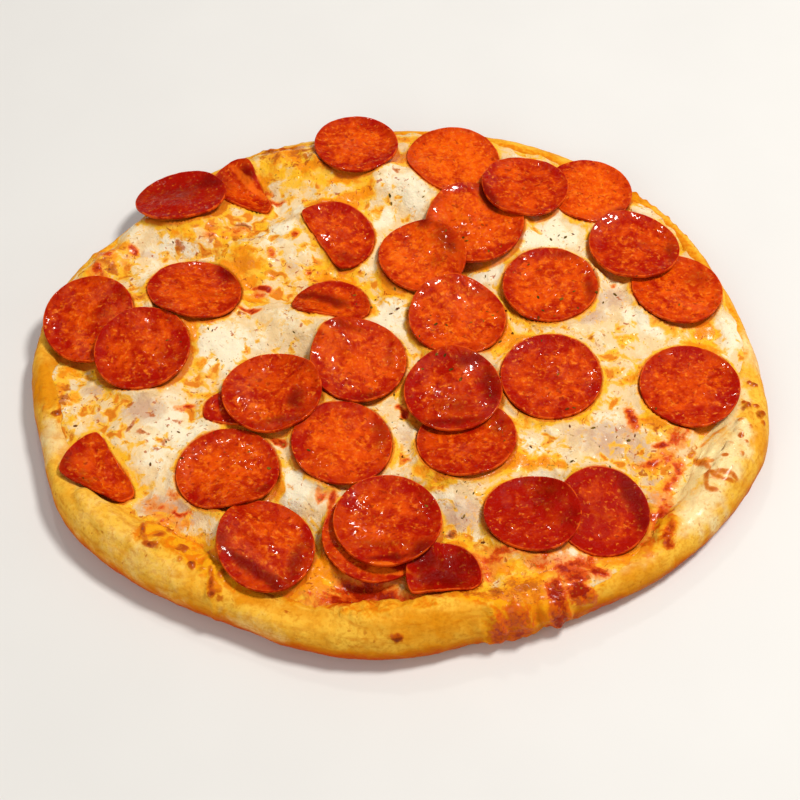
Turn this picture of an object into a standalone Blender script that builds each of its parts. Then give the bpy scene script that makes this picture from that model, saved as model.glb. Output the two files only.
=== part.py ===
"""A whole pan pizza about 307 mm wide: a golden crust with a rounded rim, melted cheese over it
and a pile of pepperoni slices, some of them cut or half hidden. The tables are in millimetres and
the meshes in metres.
+X runs along the wider way across, +Y to the back edge and +Z up. The origin is at the middle
of the underside."""

import math
import random

import bmesh
import bpy
import numpy as np
from mathutils import Matrix, Vector, noise
from mathutils.bvhtree import BVHTree

MM = 0.001

# Round the rim, every 15 degrees anticlockwise from +X: the distance from the middle to the
# outer edge, the width of the bare crust, and the height of the rim's crest.
RIM = (
    (152.0, 7.0, 16.0),
    (148.0, 5.0, 15.0),
    (146.5, 6.0, 14.5),
    (143.0, 8.0, 14.0),
    (140.5, 9.0, 14.0),
    (136.0, 6.5, 14.0),
    (133.5, 6.5, 14.0),
    (132.0, 8.0, 15.0),
    (135.5, 4.5, 15.0),
    (137.5, 4.5, 15.0),
    (141.5, 4.0, 15.0),
    (151.0, 5.5, 15.0),
    (153.5, 12.0, 16.5),
    (150.3, 11.0, 18.0),
    (151.0, 18.0, 20.0),
    (143.5, 24.0, 20.5),
    (135.2, 18.0, 20.0),
    (134.3, 15.0, 20.0),
    (133.3, 20.5, 22.0),
    (130.2, 12.0, 21.0),
    (134.0, 3.0, 17.5),
    (141.6, 11.0, 18.0),
    (149.5, 21.0, 20.0),
    (156.2, 24.0, 20.0),
)
RIM_WOBBLE = 0.7
CHEESE_WOBBLE = 2.4
LEAST_BARE = 1.5

# The crust in section: the height of its widest line, how far its base is drawn in, the height
# of the seat under the cheese, and the run of the rounded shoulder and of the slope inside it.
WIDEST_HEIGHT = 8.0
BASE_INSET = 7.0
SEAT_HEIGHT = 10.0
LEAST_SHOULDER = 6.0
GREATEST_SHOULDER = 11.0
SHOULDER_EXTRA = 3.0
RIM_SLOPE = 9.0

# The cheese: its thickness, at its edge and at the least, and its gap to the crust.
CHEESE_THICKNESS = 4.2
CHEESE_EDGE = 1.0
CHEESE_LEAST = 1.2
CHEESE_BODY_LEAST = 0.3
CHEESE_FEATHER = 14.0
CHEESE_GAP = 0.32
RIPPLE = 0.9
RIPPLE_LENGTH = 17.0

# Relief shows in the dough under the cheese by this share, and fades towards the outer edge.
DOUGH_SHARE = 0.7
RELIEF_FADE = 9.0
RELIEF_FALL = 0.9
RELIEF_POWER = 1.5
BEDDING_FALL = 0.8
BEDDING_REACH = 2.0

# Lumps, folds and dips of the baked top: x, y, half length, half width, turn in degrees from
# +X, and height.
RELIEF = (
    (-24, 100, 40, 19, -14, 8.0),
    (6, 88, 20, 12, -25, 3.5),
    (-66, 93, 24, 5, -46, -7.0),
    (-90, 64, 24, 12, -25, 3.5),
    (-65, 51, 14, 12, 20, 4.5),
    (-47, 69, 15, 10, -50, 4.0),
    (-80, 50, 18, 8, -15, -3.5),
    (-88, 12, 24, 11, -8, 3.0),
    (-42, 16, 25, 7, -22, 5.5),
    (-28, 32, 17, 7, -10, -4.5),
    (-1, 78, 16, 8, -20, -4.0),
    (-30, -62, 16, 9, 60, 2.0),
    (-54, -87, 26, 9, -28, 6.0),
    (-52, -110, 28, 8, -24, -6.5),
    (-30, -101, 12, 8, 10, 3.0),
    (-12, -108, 18, 6, -12, -5.5),
    (18, -102, 16, 7, -12, -4.5),
    (12, -121, 26, 7, 0, 2.5),
    (4, -95, 14, 6, -8, 1.5),
    (-119, -57, 24, 9, -32, -8.5),
    (-103, -82, 26, 12, -40, 3.0),
    (-110, -30, 24, 20, 10, 2.0),
    (-136, -6, 9, 18, 0, -2.5),
    (52, -98, 22, 12, -10, 2.5),
    (98, -90, 14, 14, 30, -2.0),
    (104, -58, 12, 24, 20, -2.5),
    (126, -50, 10, 24, 24, 3.0),
    (88, 18, 24, 22, 0, 2.5),
    (60, 66, 30, 20, -30, 1.5),
    (38, 130, 20, 8, 0, 1.5),
    (120, 40, 22, 10, -50, 2.0),
    (30, -62, 22, 9, 0, 1.5),
    (88, -40, 22, 16, 20, 2.0),
    (-8, -58, 20, 8, 0, 1.5),
    (24, 74, 20, 14, 0, 1.5),
)

# Browned beads of cheese on the bare rim: first and last angle, how many, half length, and
# the least and greatest distance in from the outer edge.
BEADS = (
    (27, 45, 7, 2.0, 2.0, 2.6),
    (108, 126, 5, 1.9, 1.2, 1.6),
    (185, 192, 3, 2.2, 5.0, 6.5),
    (224, 240, 4, 2.4, 11.0, 13.0),
    (337, 350, 9, 2.4, 5.0, 14.0),
)
BEAD_FLATNESS = (1.0, 0.7, 0.6)
BEAD_SEED = 1
BEAD_SEGMENTS = 6
BEAD_RINGS = 4

SLICE_THICKNESS = 1.9
SLICE_GAP = 0.42
SLICE_CUP = 0.9
SLICE_SEGMENTS = 18
SLICE_LOWEST = 3.0
# Each slice is turned by this many degrees more than the last.
SLICE_TURN = 37.0
# A slice that drapes by more than this share has one ring of points more.
DRAPED = 0.8
FLAT_RINGS = (0.55, 1.0)
BENT_RINGS = (0.35, 0.68, 1.0)

# The slices from the lowest layer up: x, y, radius, slope along x, slope along y, how closely
# it follows what it lies on, and its straight cut edges as (direction in degrees, distance).
SLICES = (
    (-69, -28, 9.5, 0.0, 0.0, 0.9, ((260, 5.5),)),
    (-8, -86, 21.0, 0.0, -0.10, 0.9, ()),
    (18, -104, 14.5, 0.0, -0.10, 0.9, ((275, 7.0),)),
    (-68, 91, 17.0, 0.0, 0.0, 0.9, ((26, 7.5), (245, 8.5))),
    (-28, 25, 16.5, 0.0, -0.30, 0.5, ((264, 7.0),)),
    (-117, -56, 17.0, 0.1, 0.1, 0.9, ((246, 9.5), (36, 7.0))),
    (-50, -92, 20.2, -0.40, -0.15, 0.9, ()),
    (-67, -57, 20.6, 0.0, -0.12, 0.3, ()),
    (-130, 18, 21.5, 0.46, 0.13, 0.4, ()),
    (-105.5, 0, 20.2, 0.16, -0.18, 0.3, ()),
    (-86.5, 33, 20.4, -0.20, -0.42, 0.2, ()),
    (-96, 84, 20.4, 0.16, -0.58, 0.1, ()),
    (-28, 63, 18.5, -0.20, 0.0, 0.5, ((215, 7.0),)),
    (-18.5, 112.5, 19.0, -0.05, -0.12, 0.2, ()),
    (25.5, 107.5, 21.2, -0.04, -0.08, 0.2, ()),
    (34, 69, 22.0, 0.14, -0.12, 0.3, ()),
    (86, 90.5, 19.3, -0.09, -0.12, 0.2, ()),
    (57, 90, 19.5, -0.01, -0.22, 0.2, ()),
    (11, 51, 19.6, -0.22, -0.16, 0.3, ()),
    (119.5, 33.5, 19.6, -0.14, -0.20, 0.3, ()),
    (103, 56.5, 20.0, -0.18, -0.14, 0.3, ()),
    (65.5, 36, 20.4, 0.04, -0.06, 0.3, ()),
    (25.5, 19, 20.7, -0.03, -0.14, 0.3, ()),
    (28, -42, 20.3, 0.14, -0.30, 0.3, ()),
    (23, -19, 20.3, 0.07, 0.10, 0.3, ()),
    (-22, -44, 20.6, -0.18, -0.04, 0.3, ()),
    (-16, -3.5, 20.2, -0.12, 0.04, 0.3, ()),
    (-51, -20, 20.6, 0.0, -0.14, 0.2, ()),
    (-3.5, -81.5, 21.2, -0.06, -0.14, 0.2, ()),
    (63.5, -11.5, 21.0, 0.03, 0.0, 0.3, ()),
    (120, -16.5, 20.5, 0.0, -0.02, 0.3, ()),
    (80, -75.5, 20.0, -0.32, 0.22, 0.3, ()),
    (52.5, -78, 19.0, -0.10, -0.36, 0.2, ()),
)

SEGMENTS = 96
# Rings as (share of the way from the middle to the cheese's edge, number of segments).
CHEESE_RINGS = (
    (0.05, 24),
    (0.10, 24),
    (0.16, 48),
    (0.22, 48),
    (0.28, 48),
    (0.34, 48),
    (0.40, 48),
    (0.46, 48),
    (0.52, 96),
    (0.58, 96),
    (0.64, 96),
    (0.70, 96),
    (0.76, 96),
    (0.82, 96),
    (0.88, 96),
    (0.93, 96),
    (0.97, 96),
    (1.00, 96),
)
DOUGH_RINGS = (
    (0.10, 24),
    (0.22, 48),
    (0.34, 48),
    (0.46, 48),
    (0.58, 48),
    (0.70, 96),
    (0.82, 96),
    (0.93, 96),
    (1.00, 96),
)
RIM_STEPS = 7
SIDE_STEPS = 3

# Laying a sheet on another: steps along a triangle's edge where its gap is measured, how many
# turns are eased and by what share, the greatest number of turns, and the error allowed.
GAP_STEPS = 6
EASED_TURNS = 12
EASING = 0.3
MOST_TURNS = 160
GAP_ERROR = 1e-4
# A height above everything, and the height given where nothing lies below.
SKY = 200.0
NOTHING = -1000.0


def rim_at(angle):
    """The rim's three sizes at an angle, from a smooth closed curve through the table."""
    place = (math.degrees(angle) % 360.0) / 360.0 * len(RIM)
    first = int(place)
    t = place - first
    a, b, c, d = (np.array(RIM[(first + k) % len(RIM)]) for k in (-1, 0, 1, 2))
    bend = 2 * a - 5 * b + 4 * c - d
    return b + 0.5 * t * (c - a + t * (bend + t * (3 * (b - c) + d - a)))


def wobble(angle, waves, height, layer):
    """A smooth, closed wander of a height round the rim, one for each layer of the noise."""
    at = Vector((math.cos(angle) * waves, math.sin(angle) * waves, layer))
    return height * noise.noise(at)


def edge_radius(angle):
    return rim_at(angle)[0] + wobble(angle, 4.0, RIM_WOBBLE, 3.7)


def bare_width(angle):
    return max(LEAST_BARE, rim_at(angle)[1] + wobble(angle, 7.0, CHEESE_WOBBLE, 9.1))


def cheese_reach(angle):
    return edge_radius(angle) - bare_width(angle)


def smooth(t):
    t = min(max(t, 0.0), 1.0)
    return t * t * (3 - 2 * t)


def bedding(x, y):
    """How far the top leans to meet the tilt of the slices that lie on it."""
    leaning = 0.0
    share = 0.0
    for cx, cy, radius, slope_x, slope_y, _, _ in SLICES:
        out = math.hypot(x - cx, y - cy) / radius
        if out < BEDDING_REACH:
            weight = math.exp(-BEDDING_FALL * out**4)
            leaning += weight * (slope_x * (x - cx) + slope_y * (y - cy))
            share += weight
    return leaning / max(1.0, share)


def relief(x, y):
    """Height of the lumps, folds and dips together."""
    total = 0.0
    for cx, cy, length, width, turn, height in RELIEF:
        c, s = math.cos(math.radians(turn)), math.sin(math.radians(turn))
        along = ((x - cx) * c + (y - cy) * s) / length
        across = ((y - cy) * c - (x - cx) * s) / width
        out = along * along + across * across
        total += height * math.exp(-RELIEF_FALL * out**RELIEF_POWER)
    return total + bedding(x, y)


def dough_height(x, y):
    """Top of the crust, under the cheese as well as bare."""
    angle = math.atan2(y, x)
    _, bare, crest = rim_at(angle)
    inside = max(edge_radius(angle) - math.hypot(x, y), 0.0)
    shoulder = min(max(0.5 * bare + SHOULDER_EXTRA, LEAST_SHOULDER), GREATEST_SHOULDER)
    if inside < shoulder:
        up = math.sqrt(max(0.0, 1 - (1 - inside / shoulder) ** 2))
        height = WIDEST_HEIGHT + (crest - WIDEST_HEIGHT) * up
    else:
        down = smooth((inside - shoulder) / (RIM_SLOPE + 0.4 * bare))
        height = crest + (SEAT_HEIGHT - crest) * down
    return height + DOUGH_SHARE * relief(x, y) * smooth(inside / RELIEF_FADE)


def cheese_height(x, y):
    """Top of the cheese, which thins out towards its edge."""
    within = cheese_reach(math.atan2(y, x)) - math.hypot(x, y)
    fullness = math.sqrt(smooth(within / CHEESE_FEATHER))
    ripple = RIPPLE * noise.noise(Vector((x / RIPPLE_LENGTH, y / RIPPLE_LENGTH, 1.3)))
    body = CHEESE_THICKNESS + (1 - DOUGH_SHARE) * relief(x, y) + ripple - CHEESE_EDGE
    return dough_height(x, y) + CHEESE_GAP + CHEESE_EDGE + max(body, CHEESE_BODY_LEAST) * fullness


def bridge(inner, outer):
    """Triangles between two rings of points, the outer with as many points or twice as many."""
    faces = []
    n = len(inner)
    for k in range(n):
        a, b = inner[k], inner[(k + 1) % n]
        if len(outer) == n:
            c, d = outer[k], outer[(k + 1) % n]
            faces += [(a, c, d), (a, d, b)]
        else:
            c, d, e = outer[2 * k], outer[2 * k + 1], outer[(2 * k + 2) % (2 * n)]
            faces += [(a, c, d), (a, d, b), (b, d, e)]
    return faces


def disc(rings, reach):
    """Flat points and triangles of rings round a middle point, facing up, and the last ring."""
    points = [(0.0, 0.0)]
    faces = []
    last = None
    for share, count in rings:
        ring = []
        for k in range(count):
            angle = 2 * math.pi * k / count
            radius = share * reach(angle)
            ring.append(len(points))
            points.append((radius * math.cos(angle), radius * math.sin(angle)))
        if last is None:
            faces += [(0, ring[k], ring[(k + 1) % count]) for k in range(count)]
        else:
            faces += bridge(last, ring)
        last = ring
    return np.array(points), np.array(faces), last


def shares_of_a_triangle(steps):
    """Even weights over a triangle's three corners, its corners and edges included."""
    rows = [(a, b, steps - a - b) for a in range(steps + 1) for b in range(steps + 1 - a)]
    return np.array(rows) / float(steps)


def first_hit(tree, x, y, default):
    """Height of the highest surface of a tree at a place."""
    hit = tree.ray_cast(Vector((x, y, SKY)), Vector((0, 0, -1)))[0]
    return default if hit is None else hit.z


def held_off(points, heights, faces, tree, gap, side, easing):
    """Heights moved until the faces keep a gap from the tree's surface, above it where side
    is 1 and below it where side is -1. The first turns, as many as easing, also smooth them."""
    weights = shares_of_a_triangle(GAP_STEPS)
    corners = points[faces]
    places = np.einsum("sc,fcx->fsx", weights, corners).reshape(-1, 2)
    limit = np.array([first_hit(tree, x, y, NOTHING * side) for x, y in places])
    limit = limit.reshape(len(faces), -1) + gap * side
    heights = heights.copy()
    joins = [(0, 1), (1, 2), (2, 0)]
    pairs = np.unique(np.sort(np.vstack([faces[:, j] for j in joins]), axis=1), axis=0)
    degree = np.bincount(pairs.ravel(), minlength=len(points)).astype(float)
    for turn in range(MOST_TURNS):
        if turn < easing:
            total = np.zeros(len(points))
            np.add.at(total, pairs[:, 0], heights[pairs[:, 1]])
            np.add.at(total, pairs[:, 1], heights[pairs[:, 0]])
            heights = (1 - EASING) * heights + EASING * total / degree
        short = (limit - heights[faces] @ weights.T) * side
        short = np.maximum(short, 0.0)
        if turn >= easing and short.max() < GAP_ERROR:
            break
        push = (short[:, :, None] * weights[None] / (weights**2).sum(1)[None, :, None]).max(axis=1)
        move = np.zeros(len(points))
        np.maximum.at(move, faces.ravel(), push.ravel())
        heights += side * move
    return heights


def tree_of(points, faces):
    return BVHTree.FromPolygons([tuple(p) for p in points], [tuple(int(i) for i in f) for f in faces])


def raised(points, heights):
    return np.column_stack([points, heights])


def colour(name, base, roughness):
    material = bpy.data.materials.new(name)
    material.use_nodes = True
    surface = material.node_tree.nodes["Principled BSDF"]
    surface.inputs["Base Color"].default_value = (*base, 1.0)
    surface.inputs["Roughness"].default_value = roughness
    return material


def solid(name, points, faces, material, middle=(0.0, 0.0, 0.0)):
    """A named body with its own origin, from points in millimetres round that origin."""
    mesh = bpy.data.meshes.new(name)
    mesh.from_pydata([tuple(p * MM) for p in points], [], [tuple(int(i) for i in f) for f in faces])
    mesh.materials.append(material)
    mesh.update()
    mesh.shade_smooth()
    body = bpy.data.objects.new(name, mesh)
    body.location = Vector(middle) * MM
    bpy.context.scene.collection.objects.link(body)
    return body


def crust_body(seat, seat_faces, rim_ring, material):
    """The crust: the seat for the cheese, the bare rim, the rounded side and the flat base."""
    points = [tuple(p) for p in seat]
    faces = [tuple(f) for f in seat_faces]
    ring = list(rim_ring)
    angles = [2 * math.pi * k / SEGMENTS for k in range(SEGMENTS)]

    def add_ring(place):
        new = []
        for angle in angles:
            radius, height = place(angle)
            new.append(len(points))
            points.append((radius * math.cos(angle), radius * math.sin(angle), height))
        faces.extend(bridge(ring, new))
        return new

    for step in range(1, RIM_STEPS + 1):
        share = math.sin(math.pi / 2 * step / RIM_STEPS)

        def bare(angle, share=share):
            radius = edge_radius(angle) - bare_width(angle) * (1 - share)
            return radius, dough_height(radius * math.cos(angle), radius * math.sin(angle))

        ring = add_ring(bare)
    for step in range(1, SIDE_STEPS + 1):
        turn = math.pi / 2 * step / SIDE_STEPS

        def side(angle, turn=turn):
            inset = BASE_INSET * (1 - math.cos(turn))
            return edge_radius(angle) - inset, WIDEST_HEIGHT * (1 - math.sin(turn))

        ring = add_ring(side)
    middle = len(points)
    points.append((0.0, 0.0, 0.0))
    faces += [(middle, ring[(k + 1) % SEGMENTS], ring[k]) for k in range(SEGMENTS)]
    return solid("crust", np.array(points), faces, material)


def bead(x, y, half, turn):
    """A small flattened ball whose middle lies on the bare rim."""
    length, width, depth = (half * share for share in BEAD_FLATNESS)
    matrix = Matrix.Rotation(turn, 4, "Z") @ Matrix.Diagonal((length, width, depth, 1.0))
    build = bmesh.new()
    bmesh.ops.create_uvsphere(
        build, u_segments=BEAD_SEGMENTS, v_segments=BEAD_RINGS, radius=MM, matrix=matrix
    )
    mesh = bpy.data.meshes.new("bead")
    build.to_mesh(mesh)
    build.free()
    body = bpy.data.objects.new("bead", mesh)
    body.location = Vector((x, y, dough_height(x, y))) * MM
    return body


def add_beads(crust, material):
    """Browned beads of cheese joined to the bare rim, lying at random turns."""
    draw = random.Random(BEAD_SEED)
    group = bpy.data.collections.new("beads")
    bpy.context.scene.collection.children.link(group)
    for first, last, count, size, nearest, farthest in BEADS:
        for k in range(count):
            angle = math.radians(first + (last - first) * (k + draw.uniform(0.3, 0.7)) / count)
            radius = edge_radius(angle) - draw.uniform(nearest, farthest)
            half = size * draw.uniform(0.75, 1.1)
            turn = draw.uniform(0, math.pi)
            x, y = radius * math.cos(angle), radius * math.sin(angle)
            group.objects.link(bead(x, y, half, turn))
    union = crust.modifiers.new("beads", "BOOLEAN")
    union.operation = "UNION"
    union.operand_type = "COLLECTION"
    union.collection = group
    ready = crust.evaluated_get(bpy.context.evaluated_depsgraph_get())
    joined = bpy.data.meshes.new_from_object(ready)
    crust.modifiers.clear()
    crust.data = joined
    joined.materials.clear()
    joined.materials.append(material)
    for body in list(group.objects):
        bpy.data.objects.remove(body, do_unlink=True)
    bpy.data.collections.remove(group)


def closed_layer(name, top, base, material, middle=(0.0, 0.0, 0.0)):
    """A closed body from a top sheet, a base sheet and a wall round their last rings, where a
    sheet is its points, its triangles and its last ring."""
    top_points, top_faces, top_ring = top
    base_points, base_faces, base_ring = base
    shift = len(top_points)
    faces = [tuple(f) for f in top_faces]
    faces += [(f[0] + shift, f[2] + shift, f[1] + shift) for f in base_faces]
    faces += bridge(top_ring, [k + shift for k in base_ring])
    return solid(name, np.vstack([top_points, base_points]), faces, material, middle)


def slice_reach(radius, cuts, turn):
    """A rule for the distance from a slice's middle to its edge, round or along a cut."""

    def reach(angle):
        far = radius
        for direction, distance in cuts:
            facing = math.cos(angle + turn - math.radians(direction))
            if facing * radius > distance:
                far = min(far, distance / facing)
        return far

    return reach


def slice_body(number, row, pile, material):
    """One slice laid on the pile: its outline, its tilt, its cupped edge and its drape."""
    x, y, radius, slope_x, slope_y, hug, cuts = row
    turn = math.radians(SLICE_TURN * number)
    shares = BENT_RINGS if hug > DRAPED else FLAT_RINGS
    rings = [(share, SLICE_SEGMENTS) for share in shares]
    flat, faces, ring = disc(rings, slice_reach(radius, cuts, turn))
    c, s = math.cos(turn), math.sin(turn)
    flat = flat @ np.array(((c, s), (-s, c)))
    fall = np.array((slope_x, slope_y))
    steepness = float(fall @ fall)
    if steepness > 0:
        flat -= np.outer(flat @ fall, fall) * (1 - 1 / math.sqrt(1 + steepness)) / steepness
    points = flat + np.array((x, y))
    under = np.array([first_hit(pile, px, py, NOTHING) for px, py in points])
    plane = flat @ fall
    found = under > NOTHING
    level = np.median((under - plane)[found]) + SLICE_GAP
    under = np.where(found, under + SLICE_GAP, plane + level)
    cup = SLICE_CUP * (np.hypot(flat[:, 0], flat[:, 1]) / radius) ** 4
    heights = (1 - hug) * (plane + level) + hug * under + cup
    heights = np.maximum(heights, SLICE_LOWEST)
    heights = held_off(points, heights, faces, pile, SLICE_GAP, 1, EASED_TURNS)
    base = raised(flat, heights - level)
    top = raised(flat, heights - level + SLICE_THICKNESS)
    name = f"pepperoni_{number:02d}"
    return closed_layer(name, (top, faces, ring), (base, faces, ring), material, (x, y, level))


def pile_of(bodies):
    """The surface of the bodies together, in millimetres."""
    points = []
    faces = []
    for body in bodies:
        shift = len(points)
        body.data.calc_loop_triangles()
        points += [(body.location + v.co) / MM for v in body.data.vertices]
        faces += [tuple(k + shift for k in face.vertices) for face in body.data.loop_triangles]
    return BVHTree.FromPolygons(points, faces)


def held_together(bodies):
    """The bodies under one empty, which puts the origin at the middle of the underside."""
    ends = np.array([tuple(body.location + v.co) for body in bodies for v in body.data.vertices])
    middle = (ends.min(axis=0) + ends.max(axis=0)) / 2
    whole = bpy.data.objects.new("pizza", None)
    bpy.context.scene.collection.objects.link(whole)
    whole.location = (-middle[0], -middle[1], -ends[:, 2].min())
    for body in bodies:
        body.parent = whole


def bed(crust_material, cheese_material):
    """The crust and the cheese, which share the rings of the seat."""
    flat, top_faces, top_ring = disc(CHEESE_RINGS, cheese_reach)
    top = raised(flat, np.array([cheese_height(x, y) for x, y in flat]))
    flat, seat_faces, seat_ring = disc(DOUGH_RINGS, cheese_reach)
    heights = np.array([dough_height(x, y) for x, y in flat])
    ceiling = tree_of(top, top_faces)
    heights = held_off(flat, heights, seat_faces, ceiling, CHEESE_LEAST, -1, 0)
    underside = raised(flat, heights + CHEESE_GAP)
    crust = crust_body(raised(flat, heights), seat_faces, seat_ring, crust_material)
    add_beads(crust, crust_material)
    sheets = (top, top_faces, top_ring), (underside, seat_faces, seat_ring)
    return [crust, closed_layer("cheese", *sheets, cheese_material)]


def main():
    for old in list(bpy.data.objects):
        bpy.data.objects.remove(old, do_unlink=True)
    baked = colour("baked_crust", (0.78, 0.47, 0.15), 0.5)
    melted = colour("melted_cheese", (0.90, 0.77, 0.50), 0.4)
    meat = colour("pepperoni", (0.62, 0.09, 0.025), 0.35)
    bodies = bed(baked, melted)
    for number, row in enumerate(SLICES, 1):
        bodies.append(slice_body(number, row, pile_of(bodies), meat))
    held_together(bodies)


main()
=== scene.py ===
"""The looks of a pan pizza: baked crust, melted cheese with oil and sauce in it, pepperoni, herb
flakes and browned cheese. Lengths are in millimetres unless a comment says otherwise. Places that
were read off the photograph are pixels of its 800 by 800 frame, and are put on the surface by a
ray from the camera."""

import math

import bpy
import numpy as np
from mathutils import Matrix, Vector
from mathutils.bvhtree import BVHTree


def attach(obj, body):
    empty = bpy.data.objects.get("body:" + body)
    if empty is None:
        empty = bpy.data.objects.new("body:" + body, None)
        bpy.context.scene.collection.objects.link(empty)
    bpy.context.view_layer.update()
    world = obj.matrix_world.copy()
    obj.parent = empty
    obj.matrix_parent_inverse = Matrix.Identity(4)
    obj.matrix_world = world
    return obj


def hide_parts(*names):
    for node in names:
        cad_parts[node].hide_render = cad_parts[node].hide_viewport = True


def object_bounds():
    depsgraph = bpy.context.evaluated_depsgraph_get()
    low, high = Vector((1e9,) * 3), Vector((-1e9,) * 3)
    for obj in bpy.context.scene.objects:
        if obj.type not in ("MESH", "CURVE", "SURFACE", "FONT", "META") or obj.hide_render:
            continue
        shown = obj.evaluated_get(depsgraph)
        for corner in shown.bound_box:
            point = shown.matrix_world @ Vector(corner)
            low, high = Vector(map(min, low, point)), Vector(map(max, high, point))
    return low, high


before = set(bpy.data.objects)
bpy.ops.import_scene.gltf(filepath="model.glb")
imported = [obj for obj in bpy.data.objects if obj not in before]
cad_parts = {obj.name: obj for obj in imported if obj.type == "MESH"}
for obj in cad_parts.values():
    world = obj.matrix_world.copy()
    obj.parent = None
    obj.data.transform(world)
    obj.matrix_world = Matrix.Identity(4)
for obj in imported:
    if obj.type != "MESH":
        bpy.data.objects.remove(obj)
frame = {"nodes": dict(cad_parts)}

MM = 0.001
CAD_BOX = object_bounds()

# The camera as the photograph was taken.
CAMERA_PLACE = np.array((1.35, -390.2, 557.4))
CAMERA_TARGET = np.array((1.35, -8.0, -5.0))
CAMERA_LENS = 72.0
CAMERA_SENSOR = 36.0
FRAME_SIDE = 800

# Where rays that look down on the pizza start, and those that look up.
ABOVE = 100.0
FLOOR = 0.0

# The grid on which a solid's top is measured, and how often it is eased.
GRID_STEP = 0.8
GRID_HALF = (162.0, 142.0)
TOP_EASING = 14

CRUST_ANGLES = 1300
CRUST_INSET = 9.0
CRUST_MIDDLE = 8.0
CRUST_LOWEST_TURN = -76.0
CRUST_SIDE_STEPS = 28
CRUST_TOP_STEP = 0.72
CRUST_TOP_RINGS = 32
CRUST_SEAT_RINGS = 5
CRUST_UNDERSIDE = (0.5, 0.9)
CRUST_EASING = 120
# How far out a place of the solid is before it counts as part of a drop, and fully so.
DROP_SHARE = (0.1, 0.3)
# How far it stands out before it is kept as a drop, and fully so.
DROP_LEAST = (0.35, 0.6)
# How often the drops are eased to find the broad waves among them, and how much of these goes.
DROP_BREADTH = 40
WAVE_SHARE = 1.3

CHEESE_RING_STEP = 1.05
CHEESE_ANGLES = ((10.0, 80), (24.0, 160), (52.0, 320), (400.0, 640))
CHEESE_RADIUS = 134.0
CHEESE_LEAST_RING = 3.0
CHEESE_EDGE_ROUNDING = 4.5
# The share of its reach beyond which the cheese comes down to the crust, how thick it is at
# least there, how far its last rings are apart, and how far its underside is sunk into the crust.
CHEESE_BORDER = 0.75
CHEESE_LEAST = 0.4
CHEESE_LAST_STEP = 0.35
CHEESE_SINK = 0.15
# How far the waves may go below the solid's top, and the cheese give way under a slice.
CHEESE_DEEPEST = -0.8
CHEESE_GIVE = 6.0
CHEESE_UNDERSIDE = (1.0, 0.985, 0.97, 0.955, 0.94, 0.92, 0.9, 0.87, 0.83, 0.78, 0.6, 0.35, 0.1)

# About how far the pizza goes out from its middle.
PIZZA_REACH = 145.0
# The shreds of cheese: how many, their random numbers, and by how much their height is raised.
SHRED_COUNT = 1900
SHRED_SEED = 4
SHRED_LIFT = 2.2
# Between which the shreds' lengths, widths and heights are drawn, and how much they bend.
SHRED_LENGTHS = (3.5, 8.0)
SHRED_WIDTHS = (0.9, 1.7)
SHRED_RISES = (0.12, 0.34)
SHRED_BEND = 0.03

SLICE_ANGLES = 160
SLICE_SHARES = (*np.linspace(0.04, 0.93, 25), 0.96, 0.98)
SLICE_THICKNESS = 1.6
HALO_WIDTH = 3.0
# How far the cheese, and the crust, stay under a slice.
COVER_GAP = 0.25
CRUST_COVER_GAP = 0.7
NO_COVER = 1000.0
# The fillet of cheese against a slice: how far up the slice's edge it comes, its greatest height
# and its width, and how far the edge may be above the cheese before there is less of it, and none.
FILLET_OVERLAP = 0.85
FILLET_HEIGHT = 2.7
FILLET_WIDTH = 2.3
FILLET_GAPS = (1.9, 3.4)
# How far the slices may stand above the highest solid.
SLICE_ROOM = 0.25
# The slice's edge in section: how far out from the last ring of the top, and how far down.
SLICE_EDGE = ((0.16, 0.05), (0.3, 0.22), (0.36, 0.5), (0.36, 1.0), (0.26, 1.4), (0.0, 1.6))


def photo_ray(px, py):
    """The direction from the camera through a pixel of the photograph."""
    ahead = CAMERA_TARGET - CAMERA_PLACE
    ahead = ahead / np.linalg.norm(ahead)
    right = np.array((1.0, 0.0, 0.0))
    upward = np.cross(right, ahead)
    focal = CAMERA_LENS / CAMERA_SENSOR * FRAME_SIDE
    middle = FRAME_SIDE / 2
    return ahead + (px - middle) / focal * right + (middle - py) / focal * upward


def tree_of(*meshes):
    """A tree for ray casting, in millimetres, of the surface of meshes together."""
    points = []
    faces = []
    for mesh in meshes:
        shift = len(points)
        points += [v.co / MM for v in mesh.vertices]
        faces += [tuple(k + shift for k in face.vertices) for face in mesh.polygons]
    return BVHTree.FromPolygons(points, faces)


def levels(tree, x, y, start=ABOVE):
    """The height where an upright ray meets a tree at each place, and not a number where it
    misses. It goes down from above, or up from the floor."""
    way = Vector((0, 0, -1 if start > 0 else 1))
    x, y = np.asarray(x), np.asarray(y)
    found = np.full(x.shape, np.nan)
    for at in np.ndindex(found.shape):
        hit = tree.ray_cast(Vector((x[at], y[at], start)), way)[0]
        if hit is not None:
            found[at] = hit.z
    return found


def smooth(value, low=0.0, high=1.0):
    """A soft step from 0 at low to 1 at high."""
    t = np.clip((value - low) / (high - low), 0.0, 1.0)
    return t * t * (3 - 2 * t)


def eased(values, passes, axis, closed=False):
    """Values averaged with their neighbours along an axis, which may run round in a ring."""
    values = np.moveaxis(np.array(values, float), axis, 0)
    for _ in range(passes):
        before = np.roll(values, 1, axis=0)
        after = np.roll(values, -1, axis=0)
        if not closed:
            before[0] = values[0]
            after[-1] = values[-1]
        values = (before + 2 * values + after) / 4
    return np.moveaxis(values, 0, axis)


def lattice(column, row, layer):
    """A number from 0 to 1 for each crossing of a grid, the same on each run."""
    mixed = column * 374761393 + row * 668265263 + layer * 1442695041
    mixed = (mixed ^ (mixed >> 13)) * 1274126177
    mixed = mixed ^ (mixed >> 16)
    return (mixed & 0xFFFFFF) / float(0xFFFFFF)


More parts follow.
